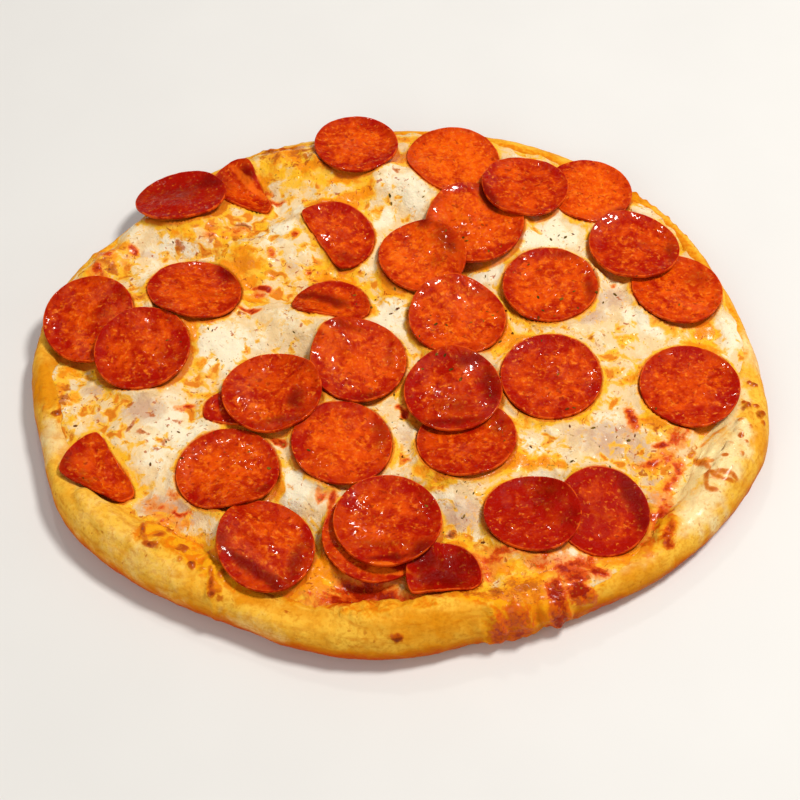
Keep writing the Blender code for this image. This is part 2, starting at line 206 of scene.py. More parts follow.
def grain(x, y, size, layer):
    """Smooth random waves over the plan, from -1 to 1, each about as wide as size."""
    column = np.floor(x / size).astype(np.int64)
    row = np.floor(y / size).astype(np.int64)
    u = smooth(x / size - column)
    v = smooth(y / size - row)
    near = lattice(column, row, layer) * (1 - u) + lattice(column + 1, row, layer) * u
    far = lattice(column, row + 1, layer) * (1 - u) + lattice(column + 1, row + 1, layer) * u
    return (near * (1 - v) + far * v) * 2 - 1


def waves_of(layers, x, y):
    """Waves of several sizes together, each given as its height, its size and its own layer."""
    return sum(height * grain(x, y, size, layer) for height, size, layer in layers)


class Heights:
    """The top of a solid as heights on a square grid, eased so that its facets don't show."""

    def __init__(self, tree, passes):
        self.start = np.array(GRID_HALF) * -1
        across = np.arange(-GRID_HALF[0], GRID_HALF[0], GRID_STEP)
        deep = np.arange(-GRID_HALF[1], GRID_HALF[1], GRID_STEP)
        found = levels(tree, *np.meshgrid(across, deep, indexing="ij"))
        known = np.isfinite(found)
        weight = known.astype(float)
        total = np.where(known, found, 0.0)
        for axis in (0, 1):
            weight = eased(weight, passes, axis)
            total = eased(total, passes, axis)
        self.level = np.where(weight > 1e-6, total / np.maximum(weight, 1e-6), 0.0)

    def at(self, x, y):
        i = np.clip((x - self.start[0]) / GRID_STEP, 0, self.level.shape[0] - 1.001)
        j = np.clip((y - self.start[1]) / GRID_STEP, 0, self.level.shape[1] - 1.001)
        a, b = i.astype(int), j.astype(int)
        u, v = i - a, j - b
        near = self.level[a, b] * (1 - u) + self.level[a + 1, b] * u
        far = self.level[a, b + 1] * (1 - u) + self.level[a + 1, b + 1] * u
        return near * (1 - v) + far * v


class Outline:
    """The outline of a solid in plan, as a distance from its middle at each angle. It is read
    from the solid's upright wall."""

    def __init__(self, mesh, middle=None):
        edge = set()
        for face in mesh.polygons:
            if abs(face.normal.z) < 0.35:
                edge.update(face.vertices)
        points = np.array([mesh.vertices[k].co.xy[:] for k in sorted(edge)]) / MM
        if middle is None:
            middle = (points.max(axis=0) + points.min(axis=0)) / 2
        self.middle = np.array(middle)
        out = points - self.middle
        angles = np.arctan2(out[:, 1], out[:, 0]) % (2 * math.pi)
        order = np.argsort(angles)
        self.angles = angles[order]
        self.radii = np.hypot(out[:, 0], out[:, 1])[order]

    def reach(self, angles):
        return np.interp(angles % (2 * math.pi), self.angles, self.radii, period=2 * math.pi)

    def outside(self, x, y):
        """How far places are outside the outline, and less than 0 inside it."""
        across, deep = x - self.middle[0], y - self.middle[1]
        return np.hypot(across, deep) - self.reach(np.arctan2(deep, across))


def in_scene(name, data):
    """A new object in the scene, at the origin."""
    thing = bpy.data.objects.new(name, data)
    bpy.context.scene.collection.objects.link(thing)
    return thing


def move_points(thing, points):
    thing.data.vertices.foreach_set("co", (points * MM).ravel())
    thing.data.update()


def ring_faces(inner, outer):
    """Faces between two rings, the outer with as many points as the inner or twice as many."""
    n = len(inner)
    after = np.roll(inner, -1)
    if len(outer) == n:
        return [tuple(f) for f in np.stack([inner, outer, np.roll(outer, -1), after], axis=1).tolist()]
    first, second, third = outer[0::2], outer[1::2], np.roll(outer, -2)[0::2]
    faces = np.stack([inner, first, second], axis=1).tolist()
    faces += np.stack([inner, second, after], axis=1).tolist()
    faces += np.stack([after, second, third], axis=1).tolist()
    return [tuple(f) for f in faces]


class Skin:
    """A closed mesh that grows by rings of points, from a pole to a pole."""

    def __init__(self, pole):
        self.points = [np.array([pole], float)]
        self.faces = []
        self.last = None
        self.count = 1

    def ring(self, x, y, z):
        new = np.arange(self.count, self.count + len(x))
        self.points.append(np.column_stack([x, y, np.broadcast_to(z, x.shape)]))
        self.count += len(x)
        if self.last is None:
            after = np.roll(new, -1)
            self.faces += [(0, a, b) for a, b in zip(new.tolist(), after.tolist())]
        elif len(new) >= len(self.last):
            self.faces += ring_faces(self.last, new)
        else:
            self.faces += [tuple(reversed(f)) for f in ring_faces(new, self.last)]
        self.last = new

    def close(self, pole):
        self.points.append(np.array([pole], float))
        after = np.roll(self.last, -1)
        end = self.count
        self.faces += [(end, b, a) for a, b in zip(self.last.tolist(), after.tolist())]
        self.count += 1

    def piece(self, name, material):
        """The finished object, whose place is in its mesh."""
        points = np.concatenate(self.points)
        mesh = bpy.data.meshes.new(name)
        mesh.from_pydata((points * MM).tolist(), [], self.faces)
        mesh.materials.append(material)
        mesh.update()
        mesh.shade_smooth()
        return in_scene(name, mesh), points


def write(mesh, name, values):
    """Stores a value for each point of a mesh, for its material to read."""
    layer = mesh.attributes.new(name, "FLOAT", "POINT")
    layer.data.foreach_set("value", np.asarray(values, np.float32))


def finished(thing, slot, *nodes):
    """Attaches a piece to the root body, and hides the parts of the model that it replaces."""
    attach(thing, "root")
    if nodes:
        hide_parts(*nodes)


# Waves, each as its height, its width and the layer of random numbers it is drawn from: those by
# which the edges of marks wander, those of the crust, of its drops of cheese, of lumps, of the
# cheese and its border, and of a slice, whose layers go up by its number.
WANDER_ACROSS = ((1.3, 5.0, 31), (0.7, 2.2, 32))
WANDER_DEEP = ((1.3, 5.0, 33), (0.7, 2.2, 34))
CRUST_WAVES = ((0.3, 11.0, 5),)
CRUST_RIPPLES = ((0.2, 4.0, 6), (0.1, 1.9, 7))
SPILL_KNOBS = ((0.7, 3.6, 14),)
SPILL_GRAINS = ((0.4, 1.8, 15),)
LUMP_KNOBS = ((0.6, 3.4, 8), (0.3, 1.7, 9))
CHEESE_WAVES = ((0.9, 8.5, 10), (0.6, 4.2, 12))
CHEESE_RIPPLES = ((0.22, 2.0, 13),)
CHEESE_LOBES = ((1.7, 9.0, 11), (0.8, 3.6, 16))
SLICE_WAVES = ((0.05, 1.7, 40), (0.1, 3.4, 80), (0.1, 6.5, 160))
SLICE_EDGE_WAVES = (0.35, 8.0, 120)
# A slice's fine wrinkles: their least height, how much more where it glistens, width and layer.
SLICE_CRINKLE = (0.08, 0.15, 1.6, 200)
GLOSS_CRINKLE = (0.1, 2.6, 240)

# How far the edges of a mark wander, and the shares of its size between which it fades out.
PAINTED_SHADE_REACH = (0.8, (0.0, 1.6))
GLOW_REACH = (0.5, (0.2, 1.4))
GLOSS_REACH = (0.5, (0.4, 1.5))
DULL_REACH = (0.5, (0.9, 1.2))
DROP_REACH = (0.35, (0.3, 1.2))
SPILL_REACH = (1.0, (0.5, 1.4))

# Stains and marks, from the photograph: pixel across, pixel down, half length, half width, turn
# in degrees in plan where there is one, and strength.
OIL = (
    (184, 234, 7, 2.6, 0.7), (228, 236, 8, 4.5, 10, 0.9), (243, 264, 13, 10.5, -10, 1),
    (250, 282, 9, 5, 1), (257, 301, 9, 3.5, -20, 0.9), (191, 333, 2.6, 7, 10, 0.8),
    (205, 318, 5, 2.5, 0.7), (232, 200, 7, 4, -30, 0.8), (249, 206, 8, 3, -40, 0.9),
    (270, 172, 8, 6, 10, 0.7), (285, 158, 12, 7, 10, 1), (306, 168, 10, 7, -10, 0.9),
    (262, 190, 4, 7, 20, 0.7), (292, 186, 8, 5, 0.55), (322, 204, 10, 3, 0.95), (350, 200, 10, 5, 20, 1),
    (366, 190, 5, 5, 20, 0.9), (341, 180, 12, 3, 0.75), (398, 160, 5, 6, 0.95), (405, 140, 5, 3, 0.9),
    (376, 214, 4, 5, 40, 0.7), (262, 226, 4, 4, 0.7), (293, 232, 3, 4, 0.9), (300, 250, 4, 4, 0.5),
    (309, 271, 4, 3, 0.9), (323, 273, 5, 4, 0.8), (328, 281, 12, 3, -5, 0.75), (350, 282, 6, 4, -20, 0.8),
    (386, 280, 3.5, 5, 20, 0.8), (395, 292, 7, 3.5, -30, 0.9), (368, 290, 4, 5, 0.5),
    (372, 315, 4, 4, 0.6), (290, 306, 5, 2, -20, 0.6), (430, 280, 8, 2.5, -10, 0.4),
    (513, 340, 8, 5, 20, 0.85), (506, 330, 4, 3, 0.7), (520, 352, 6, 3, 10, 0.7), (626, 341, 4, 3, 0.7),
    (612, 350, 4, 2, 0.5), (673, 336, 4.5, 3.5, 0.6), (705, 333, 6, 5, -20, 1),
    (704, 347, 12, 3.5, -15, 0.85), (655, 325, 4, 2, 0.4), (620, 372, 3, 2, 0.5),
    (628, 380, 3.5, 3.5, 0.8), (534, 463, 14, 4.5, 10, 0.9), (557, 466, 6, 4, -20, 0.9),
    (488, 455, 6, 3, 20, 0.5), (420, 471, 5, 3.5, -30, 0.85), (440, 478, 8, 2.5, -5, 0.6),
    (524, 426, 8, 3, -20, 0.5), (648, 424, 9, 5, -15, 0.9), (660, 412, 6, 4, -30, 0.7),
    (652, 470, 9, 5, 30, 0.75), (662, 487, 5, 8, -10, 0.7), (657, 520, 5, 8, 0.8),
    (640, 555, 12, 4, 30, 0.8), (713, 437, 10, 1.5, 32, 0.8), (703, 460, 6, 1.8, -40, 0.95),
    (722, 474, 5, 3, -20, 0.6), (690, 455, 4, 1.5, 20, 0.6), (613, 560, 10, 4, 20, 0.7),
    (456, 552, 5, 5, 0.85), (447, 560, 3, 6, 0.6), (466, 545, 5, 4, 0.5), (470, 580, 8, 7, 0.8),
    (533, 588, 17, 9, 8, 1), (545, 574, 7, 4, 1), (500, 573, 9, 4.5, 1), (478, 596, 9, 5, 0.8),
    (515, 345, 7, 4, 10, 0.8), (640, 375, 3, 4, 0.8), (455, 350, 3, 3, 0.7), (380, 212, 5, 3, 30, 0.8),
    (255, 152, 8, 3.5, 10, 0.9), (505, 600, 10, 8, 0.8), (490, 562, 9, 5, 0.9), (325, 565, 11, 7, 20, 1),
    (342, 577, 9, 8, 10, 0.9), (318, 590, 9, 7, 0.85), (345, 552, 8, 5, 0.8), (304, 520, 2, 8, -10, 0.4),
    (280, 494, 1.6, 8, -10, 0.8), (279, 520, 1.6, 7, -10, 0.5), (289, 465, 2, 4, 0.4),
    (153, 530, 7, 8, -20, 1), (166, 518, 8, 3, -20, 0.7), (178, 543, 10, 6, -20, 1),
    (196, 558, 9, 6, -30, 1), (210, 570, 9, 5, -20, 1), (232, 584, 10, 4, -30, 0.7), (75, 398, 4, 5, 0.9),
    (62, 388, 3, 8, 0.7), (70, 374, 5, 5, 30, 0.7), (85, 430, 4, 5, 0.35), (75, 422, 3, 4, 0.6),
    (130, 470, 8, 8, 0.35), (127, 484, 5, 4, 0.6), (150, 488, 5, 4, 0.5), (118, 458, 7, 5, 0.45),
    (190, 487, 4, 3, 0.6), (206, 395, 5, 3, 0.65), (202, 364, 2.4, 5, 0.9), (190, 350, 4, 3, 0.6),
    (215, 350, 3, 3, 0.4), (140, 300, 4, 4, 0.7), (150, 292, 4, 4, 0.6), (108, 262, 7, 9, 35, 0.95),
    (122, 248, 6, 6, 35, 0.9), (98, 276, 6, 7, 35, 0.9), (135, 262, 3, 4, 0.6),
)
SAUCE = (
    (133, 251, 2.6, 2.6, 1), (128, 262, 2, 3, 0.5), (97, 270, 3, 4.5, 30, 0.75),
    (108, 253, 4, 2.5, 30, 0.7), (98, 282, 3, 3, 0.6), (263, 289, 4.5, 1.8, -10, 1), (256, 296, 5, 2, 0.6),
    (271, 254, 2.6, 3.5, 0.75), (248, 309, 7, 1.6, -10, 0.7), (238, 232, 5, 2.6, 10, 0.55),
    (212, 236, 4, 2, 0.5), (293, 234, 1.8, 2.6, 0.8), (309, 272, 2, 1.6, 0.8), (266, 196, 3, 2, 0.7),
    (275, 204, 5, 1.6, -40, 0.85), (247, 182, 6, 3.2, -35, 1), (220, 168, 3, 3, 0.6),
    (235, 188, 9, 2.6, -45, 0.75), (614, 286, 2, 1.4, 0.7), (660, 319, 4, 1.8, -20, 0.8),
    (406, 412, 2.4, 2.6, 0.95), (398, 407, 2.6, 1.6, 0.8), (406, 459, 2.6, 1.4, 0.6),
    (280, 444, 5, 1.6, -20, 0.9), (332, 503, 1.8, 4.5, -10, 0.95), (331, 520, 2.4, 7, 8, 1),
    (322, 499, 4, 1.4, 30, 0.6), (319, 498, 2, 4, -10, 0.45), (181, 514, 5, 1.5, -12, 1),
    (162, 507, 8, 4, -30, 0.42), (172, 522, 9, 4, -10, 0.38), (150, 512, 3, 4, 0.4),
    (175, 497, 5, 2.5, -30, 0.45), (220, 415, 5, 4, 10, 0.9), (186, 406, 5, 1.6, 0.85),
    (180, 409, 3, 2, 0.6), (632, 421, 3.4, 5.5, 10, 0.75), (628, 415, 2, 3, 0.8), (662, 446, 4.5, 1.8, 1),
    (675, 438, 4.5, 6, 0.6), (683, 428, 5, 3, -30, 0.65), (668, 457, 5, 4, 0.55),
    (650, 466, 6, 3, 20, 0.65), (676, 472, 3, 8, -20, 0.6), (667, 488, 3, 6, 0.6), (660, 500, 5, 5, 0.45),
    (664, 515, 4, 6, 0.8), (654, 522, 4, 7, 0.7), (668, 533, 3, 6, -15, 1), (671, 544, 2.6, 3, 1),
    (648, 540, 5, 3, 30, 0.6), (508, 551, 8, 2.2, -10, 0.75), (528, 549, 8, 2, 0.8),
    (546, 553, 6, 2.4, 0.55), (541, 561, 10, 4, -8, 0.5), (560, 560, 8, 4, 0.45), (572, 573, 8, 6, 0.9),
    (586, 566, 6, 4, -20, 0.75), (600, 571, 5, 3.5, -10, 0.8), (556, 595, 5, 9, 0.95), (560, 610, 5, 6, 1),
    (578, 592, 6, 4, -20, 0.95), (590, 597, 6, 2.6, 20, 0.85), (519, 622, 8, 6, 0.75),
    (505, 610, 4, 5, 0.5), (500, 625, 5, 6, 0.8), (530, 633, 7, 3, 10, 0.8), (475, 556, 5, 3, 0.4),
    (492, 560, 8, 4, 0.6), (484, 575, 5, 6, 0.5), (360, 594, 12, 7.5, 8, 1), (372, 585, 5, 5, 1),
    (344, 602, 7, 4, 20, 0.95), (385, 598, 8, 5, 0.9), (350, 601, 16, 3.6, -3, 1),
    (388, 604, 14, 3, -5, 0.85), (405, 596, 10, 3, -5, 0.6), (440, 598, 12, 2.6, 0.5),
    (313, 596, 6, 1.8, -20, 0.5),
)
TOAST = (
    (179, 247, 2.2, 3, 0.9), (243, 228, 4, 3, 0.9), (213, 240, 4, 3, -20, 0.7), (232, 240, 5, 2.4, 0.5),
    (270, 258, 1.6, 1.6, 1), (275, 262, 2, 1.2, 0.7), (253, 303, 6, 2, -10, 0.5),
    (238, 316, 3, 1.4, 30, 0.8), (139, 299, 2.6, 2, 0.6), (110, 268, 4, 5, 30, 0.7),
    (100, 262, 4, 3, 30, 0.7), (121, 250, 4, 3, 30, 0.6), (270, 196, 3, 1.4, 0.7), (276, 178, 2.4, 3, 0.4),
    (260, 156, 4, 2.5, 20, 0.6), (272, 150, 6, 3, 10, 0.8), (296, 147, 8, 2.6, 0.8),
    (279, 159, 8, 2.5, 10, 0.6), (302, 154, 8, 2.5, 5, 0.6), (310, 156, 6, 3, 0.55), (283, 166, 4, 2, 0.5),
    (394, 170, 2, 2, 0.7), (128, 403, 3.4, 1.6, 20, 0.75), (128, 426, 4.2, 1.3, 50, 0.8),
    (141, 431, 3.4, 1.3, 0.8), (155, 433, 4.2, 1, 5, 0.85), (166, 441, 3.2, 0.9, 20, 0.75),
    (158, 448, 2.4, 1.3, 20, 0.85), (152, 415, 2, 1, 0.7), (179, 422, 3, 1, 10, 0.7),
    (197, 427, 3, 1, 30, 0.55), (121, 430, 2.4, 0.9, 60, 0.5), (148, 441, 2, 1, 0.5),
    (188, 405, 4.6, 1, 5, 0.7), (97, 410, 0.9, 5, 5, 0.6), (119, 455, 2, 1.4, 30, 0.45),
    (63, 399, 3, 3, 30, 0.9), (57, 413, 2.6, 1.7, 10, 1), (66, 388, 2, 4, 30, 0.6),
    (66, 425, 3, 4, 20, 0.4), (70, 436, 3, 3, -30, 0.5), (143, 530, 1, 3, 10, 0.8),
    (151, 546, 3.6, 1, -10, 0.8), (180, 550, 3, 1.2, -10, 0.7), (192, 567, 1.5, 2, 0.8),
    (211, 583, 1, 4, 8, 0.8), (213, 594, 2.2, 2, 15, 0.9), (218, 600, 2.2, 1.4, 0.8),
    (238, 582, 5, 2.4, -20, 0.45), (272, 596, 5, 2, -35, 0.6), (286, 613, 2.2, 1.4, 0.7),
    (396, 634, 3.4, 1.8, 10, 0.95), (352, 622, 12, 4, -8, 0.28), (345, 604, 8, 3, 20, 0.5),
    (340, 596, 4, 2, 0.4), (444, 567, 2, 3, 0.5), (451, 534, 2.2, 1.8, 0.85), (470, 590, 6, 6, 0.6),
    (531, 585, 12, 6, 0.42), (512, 592, 10, 6, 0.42), (527, 590, 7, 3.5, 0.7), (495, 592, 3, 4, 0.8),
    (482, 580, 4, 4, 0.6), (520, 576, 8, 3, 0.4), (626, 416, 2.2, 2.2, 0.9), (634, 428, 3, 2.4, 0.7),
    (651, 427, 5, 2, -10, 0.5), (662, 445, 4.4, 1.2, 0.9), (690, 452, 6, 3, 20, 0.5),
    (646, 464, 4, 2, 20, 0.6), (672, 510, 2, 4, 0.5), (591, 337, 3, 1.2, 30, 0.7),
    (596, 344, 3, 1, -30, 0.6), (662, 318, 3, 1, -10, 0.8), (751, 385, 2.6, 1.6, 20, 0.9),
    (749, 404, 3.8, 1.7, 10, 0.9), (761, 415, 1.7, 3.8, 0.9), (741, 435, 1.5, 1.2, 0.8),
    (727, 455, 2, 1.6, 0.6), (730, 476, 3, 2, -20, 0.7), (709, 485, 1.4, 3, 0.5),
)
# Where the cheese is greyish pink, and where it is whitest.
BLUSH = (
    (104, 392, 12, 4, 0.8), (143, 410, 12, 7, 0.9), (97, 425, 3, 7, 0.7), (151, 255, 6, 3, 0.8),
    (166, 510, 14, 8, -20, 0.9), (182, 524, 8, 4, 0.8), (276, 240, 5, 5, 0.5), (290, 268, 6, 6, 0.6),
    (275, 175, 6, 5, 0.6), (325, 494, 5, 4, 0.9), (405, 435, 3, 8, 0.6), (460, 515, 13, 10, 0.75),
    (610, 300, 12, 9, 0.7), (590, 316, 10, 6, 0.8), (613, 440, 16, 10, 0.95), (640, 452, 8, 9, 0.8),
    (580, 432, 10, 6, 0.6), (655, 490, 6, 9, 0.9), (640, 470, 6, 5, 0.7),
)
BRIGHT = (
    (170, 430, 12, 9, 0.8), (220, 350, 14, 9, 10, 0.9), (165, 248, 14, 4, 0.6), (280, 235, 9, 6, 0.7),
    (405, 190, 8, 8, 1), (385, 222, 8, 4, 20, 0.8), (290, 208, 6, 4, 0.6), (390, 318, 7, 8, 1),
    (550, 232, 15, 8, 1), (488, 275, 7, 3, 10, 0.9), (650, 318, 9, 8, 1), (730, 335, 5, 9, -20, 1),
    (297, 480, 5, 11, -5, 0.9), (300, 530, 4, 6, 0.8), (445, 500, 8, 6, 0.6), (487, 538, 6, 5, 0.9),
    (505, 532, 4, 4, 0.8), (545, 445, 10, 5, 0.5), (135, 470, 12, 9, 0.3), (578, 553, 5, 3, 1),
    (555, 556, 5, 2, 0.9), (352, 572, 3, 3, 0.8), (100, 320, 3, 4, 0.5),
)
# Where the cheese is most stained and blotched.
MESS = (
    (230, 240, 24, 13, 1), (290, 165, 16, 8, 1), (120, 270, 12, 14, 30, 0.9), (320, 280, 24, 10, 0.9),
    (160, 530, 24, 8, -20, 0.9), (330, 580, 16, 12, 1), (525, 590, 30, 16, 1), (655, 470, 14, 22, 1),
    (90, 410, 14, 18, 0.6), (205, 410, 14, 18, 0.5), (400, 290, 12, 16, 0.5), (520, 450, 20, 8, 0.7),
    (430, 480, 14, 6, 0.8), (700, 340, 12, 7, 0.7), (620, 370, 8, 12, 0.7), (330, 200, 20, 6, 0.8),
    (245, 330, 20, 6, 0.5), (460, 555, 16, 8, 0.7),
)
# Where the crust is pale and shiny cream, partly its own colour and partly a painted sheen, and where its
# gold is deepest.
CREAM_AND_SHEEN = (
    (722, 455, 14, 11, 60, 1), (700, 505, 16, 9, 50, 0.9), (742, 430, 6, 10, 20, 1),
    (748, 350, 5, 14, 10, 0.6), (745, 395, 4, 6, 10, 0.8), (120, 545, 26, 13, -35, 0.3),
    (85, 510, 14, 14, -60, 0.3), (170, 580, 22, 8, -30, 0.3), (48, 440, 6, 12, 20, 0.7),
    (70, 470, 5, 14, 30, 0.6), (250, 630, 26, 5, -18, 0.35), (640, 560, 12, 5, 35, 0.4),
)
GOLD = (
    (45, 385, 8, 17, 5, 1), (60, 350, 6, 16, 10, 0.7), (240, 588, 20, 6, -30, 0.8),
    (430, 620, 34, 8, 3, 0.7), (300, 612, 26, 6, -12, 0.6), (640, 575, 20, 7, 30, 0.6),
    (735, 520, 12, 12, 55, 0.5), (762, 440, 5, 18, 10, 0.6),
)
# Painted shade on slices: the parts that lie in shadow, mostly in folds and hollows, painted dark red and
# made less glossy.
PAINTED_SHADE = (
    (181, 197, 22, 12, 0.5), (247, 180, 5, 3.4, -45, 1), (210, 190, 10, 6, 20, 0.8),
    (228, 282, 7, 4, -40, 0.9), (212, 300, 10, 3, 10, 0.35), (104, 318, 9, 6, 20, 0.4),
    (118, 300, 5, 6, 0.5), (172, 360, 7, 6, 30, 0.45), (146, 385, 9, 3, 10, 0.4),
    (296, 405, 5, 8, -10, 0.9), (280, 425, 10, 3, 10, 0.6), (263, 385, 10, 8, 0.2),
    (340, 330, 14, 3, 5, 0.6), (355, 215, 6, 4, 0.2), (345, 262, 8, 4, -20, 0.6),
    (326, 308, 13, 4, -20, 1), (310, 303, 6, 3.4, 10, 1), (421, 230, 4, 8, 40, 1),
    (445, 252, 6, 11, 20, 0.75), (440, 270, 7, 5, 20, 0.5), (487, 205, 4, 12, 25, 1),
    (505, 165, 8, 3, 0.6), (530, 190, 6, 6, 0.3), (640, 250, 8, 4, 0.4), (668, 262, 4, 8, 0.6),
    (620, 218, 10, 3, 10, 0.5), (695, 285, 8, 8, 0.5), (588, 290, 4, 10, 0.7), (560, 260, 12, 3, 0.4),
    (470, 300, 12, 4, -10, 0.4), (390, 355, 3.5, 10, 0.5), (470, 365, 12, 4, 0.8),
    (490, 390, 6, 12, 10, 0.85), (455, 415, 12, 5, 0.5), (450, 432, 16, 3, 5, 0.8), (500, 430, 5, 8, 0.6),
    (380, 440, 5, 10, -10, 0.6), (370, 402, 10, 3, 10, 0.7), (317, 470, 6, 6, 0.3),
    (270, 495, 10, 3, 10, 0.6), (245, 435, 10, 3, 10, 0.4), (428, 510, 4, 12, -10, 0.5),
    (392, 500, 12, 6, 0.25), (385, 552, 16, 3, 0.5), (296, 565, 4, 14, -15, 0.7),
    (255, 573, 20, 3.4, -32, 1), (280, 592, 12, 3.4, -42, 1), (222, 545, 5, 4, -30, 0.6),
    (425, 566, 7, 7, 1), (390, 566, 12, 1.6, 0.9), (444, 586, 12, 5, 1), (455, 572, 14, 8, 0.8),
    (547, 505, 9, 10, 0.6), (567, 522, 5, 8, 0.6), (520, 490, 10, 4, 0.4), (632, 500, 5.5, 17, 28, 0.95),
    (640, 525, 4, 9, 0.8), (605, 480, 8, 5, 0.4), (598, 520, 8, 7, 0.3), (66, 466, 4, 9, 20, 0.55),
    (85, 484, 9, 5, -20, 0.5), (80, 455, 8, 5, -20, 0.3),
)
# Bright orange parts of slices, as ridges and folds that catch the light.
GLOW = (
    (250, 191, 15, 2.4, -44, 1), (310, 325, 12, 2.4, -29, 1), (336, 318, 6, 2, -10, 0.5),
    (428, 596, 16, 2, -4, 1), (390, 577, 12, 2, -8, 1), (398, 262, 5, 8, 20, 0.6), (145, 350, 9, 7, 0.35),
    (185, 302, 10, 5, 0.4), (227, 470, 14, 8, 0.25), (360, 150, 9, 7, 0.3), (380, 520, 10, 8, 0.25),
    (452, 155, 14, 8, 0.3), (595, 190, 8, 7, 0.3), (545, 295, 10, 7, 0.2), (690, 390, 9, 7, 0.25),
    (84, 318, 5, 8, 0.25),
)
# Where slices glisten.
GLOSS = (
    (102, 297, 8, 4, 30, 0.8), (116, 318, 8, 5, 20, 0.8), (84, 352, 3, 8, 20, 0.8),
    (70, 300, 3, 8, 20, 0.5), (60, 330, 3, 7, 10, 0.4), (140, 330, 5, 4, -30, 0.5), (172, 290, 4, 7, 0.5),
    (180, 276, 9, 4, 0.5), (200, 282, 6, 4, 0.4), (215, 285, 5, 8, 30, 0.5), (175, 312, 3, 6, 0.4),
    (155, 345, 5, 5, 0.4), (340, 130, 6, 8, 40, 1), (352, 122, 8, 3, 10, 0.7), (350, 150, 5, 5, 0.4),
    (395, 136, 4, 6, 0.4), (185, 200, 5, 3, 0.8), (152, 205, 4, 5, 0.4), (323, 226, 4, 7, 20, 0.6),
    (340, 240, 4, 4, 0.5), (322, 250, 3, 5, 0.4), (244, 398, 3.5, 9, 30, 1), (252, 386, 8, 3.5, 40, 0.8),
    (237, 385, 4, 5, 30, 0.5), (274, 430, 6, 2, 20, 0.8), (288, 424, 4, 2, 30, 0.6),
    (330, 361, 3, 9, 10, 0.8), (344, 345, 8, 4, 30, 0.6), (385, 358, 3, 6, 0.5), (340, 388, 6, 5, 0.5),
    (352, 425, 3, 5, 0.5), (370, 428, 2.5, 2.5, 0.7), (186, 472, 2.5, 8, 20, 0.8),
    (196, 456, 8, 3, 40, 0.5), (216, 446, 6, 2, 10, 0.5), (248, 490, 5, 3, 0.3),
    (233, 543, 7, 2.4, -38, 1), (251, 556, 8, 2.4, -42, 1), (268, 572, 6, 2, -44, 0.9),
    (240, 556, 8, 4, -38, 0.5), (232, 530, 3, 4, 0.6), (358, 520, 3, 12, 10, 0.4),
    (370, 540, 10, 3, 10, 0.3), (490, 190, 3, 7, 20, 0.7), (500, 176, 8, 3, 20, 0.6),
    (545, 172, 5, 5, 0.4), (455, 195, 8, 3, 20, 0.7), (474, 232, 9, 7, 0.6), (440, 222, 4, 6, 20, 0.4),
    (605, 226, 6, 6, 30, 1), (596, 240, 2.5, 7, 10, 0.8), (622, 216, 8, 3, 0.6),
    (640, 250, 4, 5, -30, 0.5), (664, 272, 5, 2, 20, 0.5), (690, 310, 9, 2, -20, 0.7),
    (676, 302, 6, 4, 0.4), (520, 278, 6, 4, 0.4), (545, 262, 8, 3, 0.4), (556, 290, 8, 6, 0.3),
    (412, 262, 6, 4, 0.4), (430, 290, 3, 3, 0.8), (408, 250, 3, 5, 0.4), (455, 310, 8, 6, 0.5),
    (430, 330, 5, 6, 0.4), (470, 325, 5, 5, 0.4), (424, 372, 3, 8, 10, 0.8), (436, 364, 6, 3, 10, 0.8),
    (470, 370, 6, 5, 0.6), (452, 400, 9, 5, 0.5), (488, 418, 4, 8, 30, 1), (497, 412, 2, 7, 20, 0.8),
    (512, 366, 4, 8, 0.6), (535, 352, 9, 4, 0.5), (560, 375, 5, 5, 0.5), (588, 390, 3, 8, 0.5),
    (545, 402, 8, 5, 0.3), (648, 382, 3, 8, 0.3), (690, 372, 8, 5, 0.3), (712, 405, 5, 5, 0.3),
    (440, 440, 5, 3, 0.5), (462, 452, 5, 4, 0.5), (505, 504, 2, 6, 10, 0.8), (520, 490, 6, 2, 10, 0.6),
    (530, 510, 6, 2, 20, 0.7), (590, 505, 2, 6, 0.6), (622, 478, 8, 2, -30, 0.6),
    (636, 530, 2, 9, -20, 0.5), (600, 545, 4, 3, 0.6), (430, 598, 12, 1.6, -4, 0.6),
)
# Where slices are less shiny than they would be.
DULL = ((607, 512, 22, 24, 0.5), (472, 232, 10, 8, 0.2))
DULLING = 1.6
# Where herb flakes lie.
HERBS = (
    (400, 190, 16, 12, 1), (470, 240, 30, 18, 0.8), (550, 235, 26, 12, 1), (600, 310, 30, 22, 1),
    (500, 340, 40, 26, 0.8), (380, 300, 22, 18, 0.6), (400, 430, 18, 22, 1), (440, 330, 24, 20, 0.6),
    (610, 440, 30, 16, 1), (540, 430, 30, 16, 0.7), (450, 510, 18, 16, 0.7), (450, 390, 24, 20, 0.6),
    (225, 345, 22, 14, 0.6), (300, 270, 24, 18, 0.4), (170, 245, 20, 8, 0.3), (160, 440, 30, 20, 0.3),
    (300, 480, 14, 24, 0.4),
)
